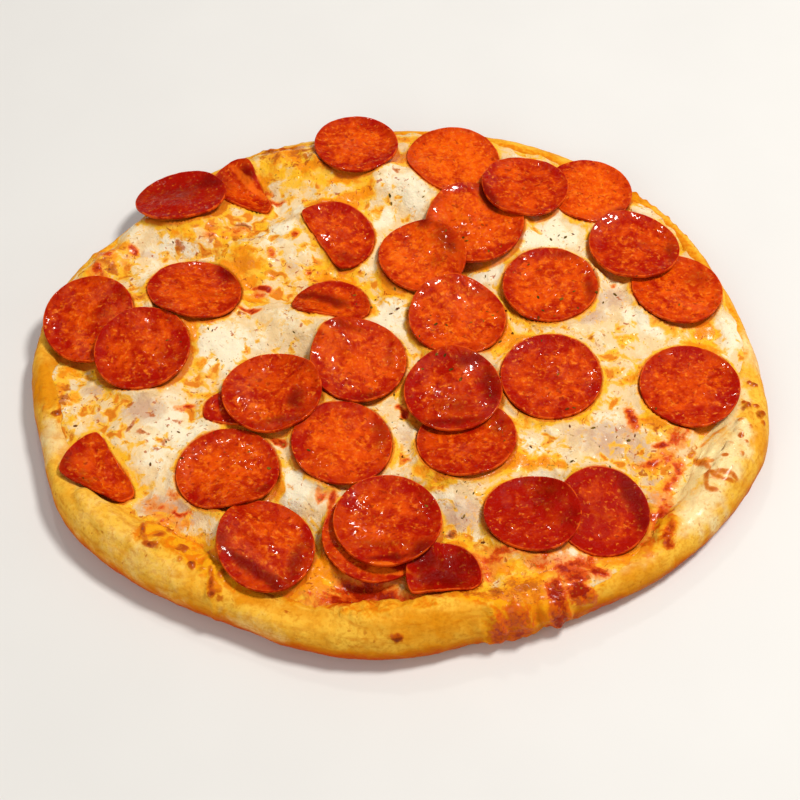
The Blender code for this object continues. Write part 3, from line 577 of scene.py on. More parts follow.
# Lumps of cheese and sauce, with their height in place of the strength.
LUMPS = (
    (325, 565, 9, 5, 20, 1), (345, 577, 7, 5, 10, 0.9), (316, 590, 7, 5, 0.9), (350, 555, 6, 4, 0.7),
    (243, 262, 11, 8, -10, 0.9), (252, 285, 8, 4, 0.6), (285, 158, 9, 5, 10, 0.9),
    (306, 166, 8, 5, -10, 0.6), (262, 160, 6, 4, 0.6), (300, 182, 7, 4, 0.5), (533, 588, 14, 8, 8, 1.4),
    (508, 600, 9, 8, 1.2), (556, 590, 8, 6, 0.9), (575, 560, 9, 5, 1), (600, 570, 6, 4, 0.9),
    (580, 580, 8, 5, 0.9), (545, 555, 8, 3, 0.8), (515, 556, 7, 3, 0.6), (515, 622, 7, 5, 1),
    (560, 606, 4, 6, 0.8), (155, 525, 6, 5, 1), (178, 540, 8, 5, -20, 1), (196, 556, 7, 5, -30, 0.9),
    (655, 470, 8, 5, 30, 0.7), (660, 500, 6, 8, 0.8), (655, 520, 5, 7, 0.8), (675, 440, 8, 6, 0.6),
    (700, 450, 8, 5, 0.6), (668, 536, 2.4, 5, 0.7), (405, 190, 8, 8, 0.6), (388, 222, 8, 3, 20, 0.5),
    (170, 502, 9, 4, -20, 0.6), (110, 262, 6, 6, 35, 0.6), (290, 240, 8, 6, 0.6), (640, 425, 8, 5, 0.6),
    (487, 540, 6, 4, 0.7),
)
# Drops of browned cheese on the rim.
DROPS = (
    (744, 403, 1.5, 1.3, 40, 1), (750, 402, 1.5, 1.4, 10, 1), (757, 406, 1.5, 1.4, -20, 1),
    (762, 413, 1.4, 1.6, 1), (763, 423, 1.3, 1.6, 1), (748, 383, 1.5, 1.2, 20, 1),
    (754, 386, 1.5, 1.4, 20, 1), (741, 436, 1.5, 1.2, 1), (726, 455, 1.8, 1.4, 30, 0.8),
    (716, 488, 1.3, 0.9, 0.7), (143, 532, 1.3, 3.6, 1), (150, 545, 3.8, 1.5, -10, 1),
    (158, 537, 2.9, 1.8, 30, 1), (170, 530, 2.3, 1.8, 1), (183, 549, 2.9, 2.4, 10, 1),
    (192, 566, 1.7, 2.7, 1), (211, 582, 1.2, 3.9, 1), (213, 592, 1.7, 2.4, 10, 1),
    (272, 150, 2.9, 1.8, 10, 1), (283, 147, 2.6, 1.8, 1), (296, 146, 3.2, 1.8, 1),
    (309, 149, 2.6, 1.7, -10, 1), (260, 156, 2.6, 1.8, 30, 1), (57, 413, 2.3, 1.8, 20, 1),
    (63, 398, 2, 2.7, 1), (396, 634, 3.2, 1.5, 5, 1), (668, 541, 1.6, 3, -15, 0.8),
)
DROP_HEIGHT = 0.9
# Threads of browned cheese on the rim, as pixels they run through.
THREADS = (
    ((687, 462), (697, 457), (711, 469), (721, 475), (733, 480)),
    ((720, 470), (730, 470), (736, 478)),
    ((711, 469), (707, 481), (709, 489), (716, 489)),
    ((209, 570), (212, 578), (211, 588)),
    ((143, 524), (142, 533), (148, 543), (157, 545)),
)
THREAD_RADIUS = 1.35
THREAD_STRENGTH = 0.78
# Where lumpy cheese and sauce run over the rim.
SPILLS = (
    (515, 614, 12, 9, 1), (532, 600, 10, 8, 1), (497, 625, 6, 7, 0.9), (561, 607, 5, 9, 1),
    (582, 590, 8, 4.5, 20, 0.8), (668, 530, 4.5, 8, -15, 0.9), (372, 608, 12, 4, 0.8),
    (405, 604, 14, 4, 0.7), (150, 535, 7, 5, 20, 0.7), (176, 548, 10, 4.5, -25, 0.8),
    (202, 566, 9, 4, -30, 0.8), (212, 586, 2.6, 7, 10, 0.9), (284, 150, 14, 5, 10, 0.9),
    (106, 262, 5, 9, 35, 0.7), (62, 400, 4, 9, 10, 0.6),
)
# How strongly the border of the cheese is coloured by oil, at angles in degrees.
RIM_TINT = (
    (0, 0.5), (22, 0.9), (60, 0.9), (100, 0.85), (128, 1.0), (150, 0.6), (172, 0.6), (190, 0.7),
    (208, 0.35), (226, 0.8), (248, 0.9), (270, 1.0), (292, 1.0), (308, 0.6), (320, 0.1), (345, 0.15),
)
# How far that goes in over the cheese and out over the crust, and how high the spills stand.
RIM_TINT_WIDTH = 8.0
SPILL_WIDTH = 5.0
SPILL_HEIGHT = 2.2
# Between which heights the lumps begin on the crust.
LUMPY_UP = (6.0, 12.0)
# The directions between which a thin film of cheese runs out on the crust, fading in and out.
FILM_ANGLES = (322.0, 332.0, 350.0, 359.0)
FILM_WIDTH = 11.0
# Each slice's place between dark red and bright orange, by its number: partly the slice's own colour, and
# partly painted shade, lowest on slices that lie in shadow.
SLICE_TONES_AND_SHADE = (
    0.1, 0.5, 0.05, 0.4, 0.45, 0.45, 0.4, 0.46, 0.42, 0.3, 0.45, 0.03, 0.35, 0.45, 0.72, 0.6, 0.68,
    0.4, 0.62, 0.52, 0.35, 0.5, 0.52, 0.36, 0.24, 0.52, 0.45, 0.42, 0.36, 0.34, 0.34, 0.15, 0.08,
)
# How far each slice's rim is cupped upwards, by its number.
SLICE_CUPS = (
    0.1, 0.5, 0.3, 0.3, 0.6, 0.3, 0.8, 0.5, 1.0, 1.0, 0.8, 0.9, 0.8, 1.3, 0.4, 0.9, 0.4,
    0.7, 0.7, 0.6, 1.2, 0.8, 0.8, 0.8, 1.0, 0.7, 0.8, 1.1, 1.1, 0.8, 0.8, 0.4, 0.8,
)
CUP_START = 0.74
# How deep light goes into crust and cheese, in metres.
DEPTH_OF_GLOW = 0.0015


def paint(red, green, blue):
    """A colour given as it looks on a screen, from 0 to 255, as the linear colour it is made of."""
    parts = [c / 255 for c in (red, green, blue)]
    return tuple(c / 12.92 if c <= 0.04045 else ((c + 0.055) / 1.055) ** 2.4 for c in parts)


class Marks:
    """Finds how strongly the marks of a table colour a place."""

    def __init__(self, solids):
        self.tree = solids
        self.places = {}

    def place(self, px, py):
        """Where a pixel of the photograph lies on the pizza, in plan."""
        if (px, py) not in self.places:
            ray = Vector(photo_ray(px, py))
            hit = self.tree.ray_cast(Vector(CAMERA_PLACE), ray.normalized())[0]
            self.places[px, py] = None if hit is None else (hit.x, hit.y)
        return self.places[px, py]

    def lines(self, threads):
        """A row for each stretch of the threads, which are given as the pixels they run through."""
        rows = []
        for thread in threads:
            for first, last in zip(thread, thread[1:]):
                a, b = self.place(*first), self.place(*last)
                length = math.dist(a, b) / 2 + THREAD_RADIUS
                turn = math.degrees(math.atan2(b[1] - a[1], b[0] - a[0]))
                px, py = (first[0] + last[0]) / 2, (first[1] + last[1]) / 2
                rows.append((px, py, length, THREAD_RADIUS, turn, THREAD_STRENGTH))
        return rows

    def on(self, rows, x, y, wander=1.0, soft=(0.15, 1.5)):
        """Strength at each place, whose edges wander by about as much as is given, and fade out
        between two shares of a mark's size."""
        across = x + wander * waves_of(WANDER_ACROSS, x, y)
        deep = y + wander * waves_of(WANDER_DEEP, x, y)
        total = np.zeros_like(x)
        for px, py, length, width, *turn, strength in rows:
            middle = self.place(px, py)
            if middle is None:
                continue
            angle = math.radians(sum(turn))
            c, s = math.cos(angle), math.sin(angle)
            u, v = across - middle[0], deep - middle[1]
            out = np.hypot((u * c + v * s) / length, (v * c - u * s) / width)
            total = np.maximum(total, strength * (1 - smooth(out, *soft)))
        return total


def add_node(tree, kind, settings, inputs):
    """Adds a node, sets it up, and gives its sockets values or links."""
    node = tree.nodes.new(kind)
    for name, value in settings.items():
        setattr(node, name, value)
    for key, value in inputs.items():
        if isinstance(value, bpy.types.NodeSocket):
            tree.links.new(value, node.inputs[key])
        else:
            node.inputs[key].default_value = value
    return node


class Signal:
    """A shader socket that can be used in sums."""

    def __init__(self, finish, socket):
        self.finish = finish
        self.socket = socket

    def math(self, operation, first, second):
        settings = {"operation": operation}
        return self.finish.add("ShaderNodeMath", settings, {0: first, 1: second})

    def __add__(self, other):
        return self.math("ADD", self, other)

    __radd__ = __add__

    def __mul__(self, other):
        return self.math("MULTIPLY", self, other)

    __rmul__ = __mul__

    def __sub__(self, other):
        return self.math("SUBTRACT", self, other)

    def __rsub__(self, other):
        return self.math("SUBTRACT", other, self)

    def step(self, low, high):
        """A soft step from 0 at low to 1 at high."""
        settings = {"interpolation_type": "SMOOTHSTEP"}
        return self.finish.add("ShaderNodeMapRange", settings, {0: self, 1: low, 2: high})


class Finish:
    """A procedural material, and the one way to add a node to it."""

    def __init__(self, name, **constants):
        self.material = bpy.data.materials.new(name)
        self.material.use_nodes = True
        self.tree = self.material.node_tree
        self.surface = self.tree.nodes["Principled BSDF"]
        for socket, value in constants.items():
            self.surface.inputs[socket.replace("_", " ")].default_value = value

    def add(self, kind, settings, inputs, output=0):
        """Adds a node whose inputs are values or signals, and returns an output."""
        plain = {k: v.socket if isinstance(v, Signal) else v for k, v in inputs.items()}
        return Signal(self, add_node(self.tree, kind, settings, plain).outputs[output])

    def read(self, name):
        """The values that a piece stores under a name."""
        return self.add("ShaderNodeAttribute", {"attribute_name": name}, {}, "Fac")

    def reads(self, names):
        return [self.read(name) for name in names.split()]

    def noise(self, size, detail=3.0, twist=0.0, stretch=None):
        """Noise whose waves are about as wide as size, in millimetres."""
        at = self.add("ShaderNodeTexCoord", {}, {}, "Object")
        if stretch is not None:
            at = self.add("ShaderNodeMapping", {}, {"Vector": at, "Scale": stretch})
        inputs = {"Vector": at, "Scale": 1 / (size * MM), "Detail": detail, "Distortion": twist}
        return self.add("ShaderNodeTexNoise", {}, inputs, "Fac")

    def mix(self, first, second, share):
        """A colour that goes from the first to the second as share goes from 0 to 1."""
        colours = [c if isinstance(c, Signal) else (*paint(*c), 1.0) for c in (first, second)]
        inputs = {0: share, 6: colours[0], 7: colours[1]}
        return self.add("ShaderNodeMix", {"data_type": "RGBA"}, inputs, 2)

    def base(self, first, second, share):
        """The surface's first colour, between two."""
        self.colour = self.mix(first, second, share)

    def coat(self, colour, share):
        """Lays a colour over what is there."""
        self.colour = self.mix(self.colour, colour, share)

    def bump(self, height, depth, strength, under=None):
        inputs = {"Height": height, "Distance": depth * MM, "Strength": strength}
        if under is not None:
            inputs["Normal"] = under
        return self.add("ShaderNodeBump", {}, inputs)

    def wear(self, **links):
        """Links the colour and other signals to the surface's sockets, by name."""
        for name, value in {"Base_Color": self.colour, **links}.items():
            self.tree.links.new(value.socket, self.surface.inputs[name.replace("_", " ")])
        return self.material


def cheese_finish():
    """Cream-white melted cheese with oil, sauce, browned specks and a soft sheen."""
    f = Finish(
        "melted_cheese", Subsurface_Weight=0.08, Subsurface_Scale=DEPTH_OF_GLOW, IOR=1.42,
        Subsurface_Radius=(1.0, 0.6, 0.3), Specular_IOR_Level=0.08, Coat_Roughness=0.18,
    )
    fine = f.noise(1.5, 4.0, 0.5)
    middle = f.noise(4.5, 4.0, 0.5)
    broad = f.noise(13.0, 4.0, 0.6)
    unrest = (fine - 0.5) * 0.8 + (middle - 0.5) * 0.9
    calm = (middle - 0.5) + (fine - 0.5) * 0.4
    oil, sauce, toast = f.reads("oil sauce toast")
    halo, blush, bright = f.reads("halo blush bright")
    rim, herbs, film, mess = f.reads("rim herbs film mess")
    dip = f.read("dip") - 0.5
    pale = (broad * 0.6 + middle * 0.6 + fine * 0.2 + bright * 0.25).step(0.6, 0.95)
    f.base((233, 200, 148), (241, 220, 178), pale)
    pinkish = (blush + unrest * 0.7).step(0.2, 0.8)
    f.coat((196, 156, 130), pinkish * 0.85)
    # Whitest where the table and the waves say, and less white in the dips of the cheese, as painted
    # shade.
    white_with_dip_shade = (bright * 0.8 + (middle - 0.5) * 1.2 + (broad - 0.5) * 0.8 - dip * 0.7).step(0.15, 0.6)
    f.coat((242, 229, 198), white_with_dip_shade * (1 - pinkish * 0.6) * 0.88)
    veil = (middle + (fine - 0.5) * 0.6 + mess * 0.2 - bright * 0.12).step(0.57, 0.7)
    f.coat((236, 182, 78), veil * (1 - blush * 0.5) * 0.65)
    filmy = (film + unrest * 0.8).step(0.3, 0.8)
    f.coat((238, 204, 126), filmy * 0.8)
    stained = f.noise(5.2, 3.0, 0.6) + (broad - 0.5) * 0.2 + mess * 0.17
    stained = stained - bright * 0.08 - blush * 0.04 + dip * 0.16
    f.coat((242, 182, 44), stained.step(0.54, 0.63) * 0.9)
    f.coat((218, 112, 14), stained.step(0.62, 0.72) * 0.85)
    oily = (oil * 1.15 + halo * 0.7 + rim * 0.5 + calm + dip * 0.25).step(0.3, 0.68)
    f.coat((247, 186, 36), oily * 0.92)
    deep = (oil * 1.1 + halo * 0.45 + rim * 0.45 + calm * 1.4).step(0.6, 1.0)
    f.coat((238, 138, 10), deep * 0.9)
    ochre = (oil * 0.5 + rim * 0.5 + (f.noise(2.6, 3.0, 0.7) - 0.5) * 2.2).step(0.65, 1.05)
    f.coat((206, 94, 8), ochre * 0.7)
    # Right against a slice's edge the cheese is dark orange-red: partly grease, partly painted contact
    # shade.
    contact_shade_and_grease = (halo + calm * 0.25).step(0.84, 0.98)
    f.coat((206, 92, 12), contact_shade_and_grease * 0.8)
    browned = (toast + unrest).step(0.3, 0.62)
    f.coat((188, 92, 12), browned * 0.85)
    burnt = (toast + unrest * 1.2).step(0.68, 1.0)
    f.coat((92, 28, 4), burnt * 0.85)
    around = (sauce * 1.3 + calm * 1.2).step(0.12, 0.5)
    f.coat((238, 146, 48), around * 0.8)
    saucy = (sauce * 1.1 + calm * 1.3).step(0.38, 0.72)
    f.coat((212, 70, 8), saucy * 0.92)
    deep_sauce = (sauce * 1.1 + calm * 1.4).step(0.68, 1.0)
    f.coat((152, 20, 2), deep_sauce * 0.9)
    crumbs = (f.noise(1.6, 1.0) + broad * 0.12 + herbs * 0.03).step(0.76, 0.84)
    f.coat((160, 118, 40), crumbs * 0.7)
    specks = (f.noise(2.3, 2.0, 0.8) + middle * 0.15 + mess * 0.06).step(0.735, 0.81)
    f.coat((176, 78, 12), specks * 0.8)
    rough = 0.4 - oily * 0.14 - saucy * 0.1 + (fine - 0.5) * 0.3
    normal = f.bump(f.noise(3.4, 3.0, 0.6), 1.3, 0.65)
    normal = f.bump(f.noise(1.1, 2.0), 0.4, 0.5, normal)
    wet = (fine + oil * 0.15 + rim * 0.1 + toast * 0.1).step(0.56, 0.68) * 0.35
    return f.wear(Roughness=rough, Normal=normal, Coat_Weight=wet)


def crust_finish():
    """Golden crust, deeper and browner low down and lighter gold on top, partly as painted shade and a
    painted highlight, cream where it is pale, partly a painted sheen, with pores and oil.
    """
    f = Finish(
        "baked_crust", Subsurface_Weight=0.05, Subsurface_Scale=DEPTH_OF_GLOW, IOR=1.42,
        Subsurface_Radius=(1.0, 0.5, 0.2), Specular_IOR_Level=0.02, Coat_Roughness=0.22,
    )
    up, cream, gold = f.reads("up cream gold")
    oil, sauce, toast, spill = f.reads("oil sauce toast spill")
    fine, middle, broad = f.noise(1.5, 4.0), f.noise(4.5, 4.0, 0.6), f.noise(16.0, 5.0, 0.8)
    unrest = (fine - 0.5) * 0.7 + (middle - 0.5) * 0.9
    drop, film = f.reads("drop film")
    # Darker orange-brown low on the side and lighter gold towards the top: partly the bake of the crust,
    # partly painted shade low down and a painted highlight along the top.
    f.base((200, 72, 0), (230, 144, 6), (up + (broad - 0.5) * 0.8).step(0.25, 0.85))
    f.coat((244, 188, 64), (up + (broad - 0.5) * 1.2 + unrest * 0.3).step(0.55, 1.05))
    # Pale cream on the upper crust: partly its own colour, partly a painted sheen.
    creamy_and_sheen = (cream + (broad - 0.5) * 0.9 + unrest * 0.4).step(0.15, 0.8)
    f.coat((243, 218, 156), creamy_and_sheen * up.step(0.2, 0.75))
    golden = (gold + (broad - 0.5) * 0.6 + unrest * 0.3).step(0.25, 0.8)
    f.coat((222, 134, 0), golden * 0.85)
    mottle = (f.noise(2.2, 5.0, 0.3) + (fine - 0.5) * 0.6).step(0.46, 0.66)
    f.coat((206, 122, 12), mottle * (1 - creamy_and_sheen * 0.5) * 0.4)
    filmy = (film + unrest).step(0.25, 0.75)
    f.coat((240, 216, 152), filmy * 0.85)
    streak = f.noise(3.0, 5.0, 0.4, (0.22, 0.22, 1.6)).step(0.5, 0.66)
    f.coat((202, 110, 6), streak * (1 - creamy_and_sheen * 0.6) * 0.4)
    spilt = (spill + unrest * 1.2).step(0.3, 0.8)
    f.coat((234, 158, 26), spilt * 0.85)
    messy = (spill + unrest * 1.4).step(0.6, 1.0)
    f.coat((222, 118, 10), messy * 0.85)
    oily = (oil + unrest).step(0.25, 0.75)
    f.coat(f.mix((240, 166, 18), (228, 122, 8), middle.step(0.45, 0.6)), oily * 0.85)
    dropped = (drop + (fine - 0.5) * 0.4).step(0.15, 0.6)
    f.coat((210, 112, 6), dropped * 0.92)
    crisp = (drop + (fine - 0.5) * 0.6).step(0.5, 0.95)
    f.coat((168, 56, 6), crisp * 0.8)
    toasted = (toast + spill * 0.15 + drop * 0.1 + unrest * 1.1).step(0.42, 0.8)
    f.coat((180, 78, 8), toasted * 0.8)
    charred = (toast + drop * 0.2 + unrest * 1.3).step(0.8, 1.15)
    f.coat((112, 36, 4), charred * 0.8)
    saucy = (sauce + unrest).step(0.3, 0.7)
    f.coat((214, 88, 8), saucy * 0.9)
    deep_sauce = (sauce + unrest * 1.3).step(0.66, 1.05)
    f.coat((160, 30, 2), deep_sauce * 0.85)
    pores = (f.noise(1.4, 2.0) + (broad - 0.5) * 0.4).step(0.58, 0.7)
    f.coat((208, 130, 18), pores * 0.4)
    freckles = (f.noise(2.6, 1.0, 0.5) + (broad - 0.5) * 0.3).step(0.72, 0.8)
    f.coat((184, 90, 10), freckles * 0.6)
    rough = 0.4 - cream * 0.14 + (middle - 0.5) * 0.4 - oily * 0.1 - dropped * 0.12
    normal = f.bump(f.noise(5.0, 4.0), 1.0, 0.45)
    normal = f.bump(f.noise(1.0, 3.0), 0.4, 0.55, normal)
    wet = cream * 0.8 + film * 0.4 + oily * 0.4 + dropped * 0.6 + saucy * 0.6 + (fine - 0.5) * 1.2
    return f.wear(Roughness=rough, Normal=normal, Coat_Weight=wet.step(0.3, 0.9) * 0.35)


def slice_finish():
    """Oily cured sausage: mottled orange and red, with flecks of fat, a bright cut edge that is partly a
    painted rim highlight, painted shade, and painted highlights on folds.
    """
    f = Finish("pepperoni", IOR=1.45, Specular_IOR_Level=0.04, Coat_Roughness=0.1, Coat_IOR=1.5)
    tone, shade, glow = f.reads("tone shade glow")
    edge, wall = f.reads("edge wall")
    broad, middle, fine = f.noise(8.0, 4.0, 0.8), f.noise(3.0, 4.0, 0.6), f.noise(1.2, 3.0)
    mottled = (broad - 0.5) * 1.7 + (middle - 0.5) * 0.9 + (fine - 0.5) * 0.4
    rimmed = edge.step(0.45, 1.0) * (f.noise(14.0, 2.0) - 0.25).step(0.1, 0.5)
    # How bright each slice's orange is, from its tone, which is partly painted shade.
    bright = (mottled + tone + 0.12 + glow * 0.5 - rimmed * 0.5).step(0.0, 1.0)
    f.base((164, 14, 0), (224, 76, 2), bright)
    hot = (middle * 0.6 + fine * 0.4 + tone * 0.2 - edge.step(0.6, 1.0) * 0.1).step(0.56, 0.78)
    f.coat((242, 116, 6), hot * 0.6)
    fat = f.noise(1.5, 1.0).step(0.6, 0.72) * middle.step(0.4, 0.6)
    f.coat((242, 132, 34), fat * 0.55)
    clots = f.noise(2.4, 2.0, 0.5).step(0.6, 0.72)
    f.coat((134, 12, 0), clots * 0.6)
    ring = edge.step(0.78, 0.93) * (1 - edge.step(0.965, 0.99)) * (broad + fine * 0.4).step(0.6, 0.95)
    f.coat((150, 8, 0), ring * 0.6)
    # Painted shade: dark red over the parts of the slices that lie in shadow.
    painted_shadow = (shade + mottled * 0.5).step(0.1, 0.95)
    f.coat((112, 3, 0), painted_shadow * 0.88)
    f.coat((240, 108, 18), (glow + mottled * 0.4).step(0.3, 0.9) * 0.75)
    uneven = (f.noise(6.0, 2.0) + (fine - 0.5) * 0.4).step(0.4, 0.62)
    # A bright line at the cut edge: partly the lighter edge, partly a painted rim highlight; none where
    # there is painted shade.
    cut_edge_and_highlight = (edge.step(0.955, 0.985) + (fine - 0.5) * 0.5).step(0.4, 0.8)
    f.coat((230, 92, 16), cut_edge_and_highlight * (1 - shade) * uneven * 0.6)
    f.coat(f.mix((170, 32, 2), (226, 88, 16), uneven), wall * 0.85)
    patches = f.noise(1.1, 2.0, 0.6) + (middle - 0.5) * 0.3 + (f.read("gloss") - 0.3) * 0.25
    normal = f.bump(middle, 1.1, 0.6)
    normal = f.bump(fine, 0.45, 0.8, normal)
    wet = patches.step(0.48, 0.57) * (1 - shade * 0.7) * 0.75
    return f.wear(Roughness=0.5 - fine * 0.2, Coat_Weight=wet, Normal=normal)


def flake_finish():
    f = Finish("dried_herb", Roughness=0.9, Specular_IOR_Level=0.05)
    share = f.noise(3.0, 2.0).step(0.35, 0.65)
    f.base((76, 58, 14), (130, 100, 26), share)
    f.coat((100, 46, 8), f.noise(5.0).step(0.5, 0.6))
    return f.wear()


class CrustForm:
    """The crust's form as distances measured on its solid, without the browned drops on it."""

    def __init__(self, mesh):
        self.solid = tree_of(mesh)
        angles = np.arange(CRUST_ANGLES) * 2 * math.pi / CRUST_ANGLES
        self.cos, self.sin = np.cos(angles), np.sin(angles)
        edge = np.zeros(CRUST_ANGLES)
        for k in range(CRUST_ANGLES):
            start = Vector((self.cos[k] * 300, self.sin[k] * 300, CRUST_MIDDLE))
            hit = self.solid.ray_cast(start, Vector((-self.cos[k], -self.sin[k], 0)))[0]
            edge[k] = math.hypot(hit.x, hit.y)
        self.inner = eased(edge, 20, 0, True) - CRUST_INSET
        self.turns = np.radians(np.linspace(CRUST_LOWEST_TURN, 90.0, CRUST_SIDE_STEPS))
        rise = np.vstack([self.side_rises(), self.top_levels()])
        self.low = self.without_drops(rise)
        # A drop is kept as it stands out, without the faint waves between drops.
        drops = (rise - self.low) * smooth(rise - self.low, *DROP_LEAST)
        self.drops = eased(eased(drops, 2, 1, True), 1, 0)
        # What is narrow enough to be a drop, and not a wave of the dough.
        broad = eased(eased(self.drops, DROP_BREADTH, 1, True), 6, 0)
        self.knobs = np.maximum(self.drops - WAVE_SHARE * broad, 0.0)

    def side_rises(self):
        found = np.zeros((CRUST_SIDE_STEPS, CRUST_ANGLES))
        for j, turn in enumerate(self.turns):
            flat, rise = math.cos(turn), math.sin(turn)
            for k in range(CRUST_ANGLES):
                c, s = self.cos[k], self.sin[k]
                start = Vector((c * self.inner[k], s * self.inner[k], CRUST_MIDDLE))
                found[j, k] = self.solid.ray_cast(start, Vector((c * flat, s * flat, rise)))[3]
        return found

    def top_levels(self):
        found = np.zeros((CRUST_TOP_RINGS, CRUST_ANGLES))
        for j in range(CRUST_TOP_RINGS):
            radius = self.inner - (j + 1) * CRUST_TOP_STEP
            found[j] = levels(self.solid, radius * self.cos, radius * self.sin) - CRUST_MIDDLE
        return found

    def without_drops(self, rise):
        """The form eased along and across, taking no notice of what stands out from it."""
        low = self.ease(rise)
        for _ in range(3):
            clear = 1 - smooth(rise - low, *DROP_SHARE) + 1e-3
            low = self.ease(rise * clear) / self.ease(clear)
        return low

    def ease(self, values):
        return eased(eased(values, CRUST_EASING, 1, True), 3, 0)

    def ring(self, j):
        """One ring of the skin, from the lowest of the side to the innermost of the top."""
        if j < CRUST_SIDE_STEPS:
            radius = self.inner + self.low[j] * math.cos(self.turns[j])
            height = np.maximum(CRUST_MIDDLE + self.low[j] * math.sin(self.turns[j]), 0.0)
        else:
            radius = self.inner - (j - CRUST_SIDE_STEPS + 1) * CRUST_TOP_STEP
            height = CRUST_MIDDLE + self.low[j]
        return radius * self.cos, radius * self.sin, height


def make_crust(material, marks, form, cheese_edge, slices):
    """The crust as one fine closed skin, with lumps, and with values for its material."""
    skin = Skin((0.0, 0.0, 0.0))
    x, y, _ = form.ring(0)
    for share in CRUST_UNDERSIDE:
        skin.ring(share * x[::-1], share * y[::-1], 0.0)
    own_drops = [np.zeros((1 + len(CRUST_UNDERSIDE) * CRUST_ANGLES, 2))]
    for j in range(CRUST_SIDE_STEPS + CRUST_TOP_RINGS):
        skin.ring(*(values[::-1] for values in form.ring(j)))
        own_drops.append(np.column_stack([form.drops[j][::-1], form.knobs[j][::-1]]))
    own_drops.append(np.zeros((1 + CRUST_SEAT_RINGS * CRUST_ANGLES, 2)))
    x, y, _ = form.ring(CRUST_SIDE_STEPS + CRUST_TOP_RINGS - 1)
    for share in np.linspace(0.8, 0.1, CRUST_SEAT_RINGS):
        seat = levels(form.solid, share * x, share * y)
        skin.ring(share * x[::-1], share * y[::-1], seat[::-1])
    skin.close((0.0, 0.0, float(levels(form.solid, 0.0, 0.0))))
    thing, points = skin.piece("baked_crust", material)
    x, y, z = points.T
    rough = waves_of(CRUST_WAVES, x, y) + waves_of(CRUST_RIPPLES, x + z, y - z)
    mess = marks.on(SPILLS, x, y, *SPILL_REACH) * smooth(z, 0.5, 3.0)
    knobs = 0.5 + waves_of(SPILL_KNOBS, x + 0.6 * z, y - 0.8 * z) + waves_of(SPILL_GRAINS, x + z, y - z)
    rough += np.maximum(lumps(marks, x, y) * smooth(z, *LUMPY_UP), SPILL_HEIGHT * mess * knobs)
    threads = marks.on(marks.lines(THREADS), x, y, DROP_REACH[0])
    drop = np.maximum(marks.on(DROPS, x, y, *DROP_REACH), threads)
    own, knob = np.concatenate(own_drops).T
    rough += np.maximum(DROP_HEIGHT * drop, own)
    normals = np.zeros(len(points) * 3)
    thing.data.vertices.foreach_get("normal", normals)
    points = points + normals.reshape(-1, 3) * (rough * smooth(z, 0.0, 5.0))[:, None]
    cover = bottom_of(slices, points[:, 0], points[:, 1])
    points[:, 2] = np.minimum(points[:, 2], np.maximum(cover - CRUST_COVER_GAP, 0.0))
    move_points(thing, points)
    top_side = smooth(z, 1.0, 4.5)
    outside = cheese_edge.outside(x, y) + 1.5 * grain(x, y, 6.0, 9)
    write(thing.data, "up", smooth(z, 1.0, 17.0))
    write(thing.data, "drop", np.maximum(drop, 0.7 * knob / DROP_HEIGHT))
    write(thing.data, "film", film_share(x, y, outside) * top_side)
    spill = rim_tint(x, y) * (1 - smooth(outside, 0.0, SPILL_WIDTH)) * top_side
    write(thing.data, "spill", np.maximum(spill, 1.1 * mess))
    for name, rows in (("oil", OIL), ("sauce", SAUCE), ("toast", TOAST)):
        write(thing.data, name, marks.on(rows, x, y, 0.7) * top_side)
    for name, rows in (("cream", CREAM_AND_SHEEN), ("gold", GOLD)):
        write(thing.data, name, marks.on(rows, x, y, 2.0))
    finished(thing, "crust", "crust")
    return thing


def rim_tint(x, y):
    """How strongly oil colours the border of the cheese in each direction."""
    angles, strengths = np.array(RIM_TINT).T
    return np.interp(np.degrees(np.arctan2(y, x)) % 360, angles, strengths, period=360)


def film_share(x, y, outside):
    """Where a thin film of cheese runs out over the crust, on the right."""
    angle = np.degrees(np.arctan2(y, x)) % 360
    facing = smooth(angle, *FILM_ANGLES[:2]) * (1 - smooth(angle, *FILM_ANGLES[2:]))
    return facing * (1 - smooth(outside, 0.0, FILM_WIDTH))


def lumps(marks, x, y):
    """The height of lumps of cheese and sauce, with knobs on them."""
    return marks.on(LUMPS, x, y, 0.6) * (0.75 + waves_of(LUMP_KNOBS, x, y))


def strands(x, y, count, seed):
    """Low ridges like half-melted shreds of cheese, laid at random."""
    draw = np.random.default_rng(seed)
    height = np.zeros_like(x)
    for _ in range(count):
        radius = PIZZA_REACH * math.sqrt(draw.random())
        angle = draw.random() * 2 * math.pi
        turn = draw.random() * math.pi
        length, width = draw.uniform(*SHRED_LENGTHS), draw.uniform(*SHRED_WIDTHS)
        rise = draw.uniform(*SHRED_RISES)
        u, v = x - radius * math.cos(angle), y - radius * math.sin(angle)
        near = np.hypot(u, v) < 2.2 * length
        c, s = math.cos(turn), math.sin(turn)
        a, b = u[near], v[near]
        bend = SHRED_BEND * (a * c + b * s) ** 2
        out = ((a * c + b * s) / length) ** 2 + ((b * c - a * s + bend) / width) ** 2
        height[near] = np.maximum(height[near], rise * np.exp(-out))
    return height


def cheese_rings():
    """Distances from the outer edge, inwards, and the number of points in each ring."""
    rings = []
    radius = CHEESE_RADIUS
    while radius > CHEESE_LEAST_RING:
        count = next(n for limit, n in CHEESE_ANGLES if radius < limit)
        rings.append((radius / CHEESE_RADIUS, count))
        radius -= CHEESE_RING_STEP
    return rings[::-1]


def cheese_reach(edge, angles):
    """The distance to the cheese's edge, with small irregular lobes."""
    x, y = PIZZA_REACH * np.cos(angles), PIZZA_REACH * np.sin(angles)
    return edge.reach(angles) + waves_of(CHEESE_LOBES, x, y)


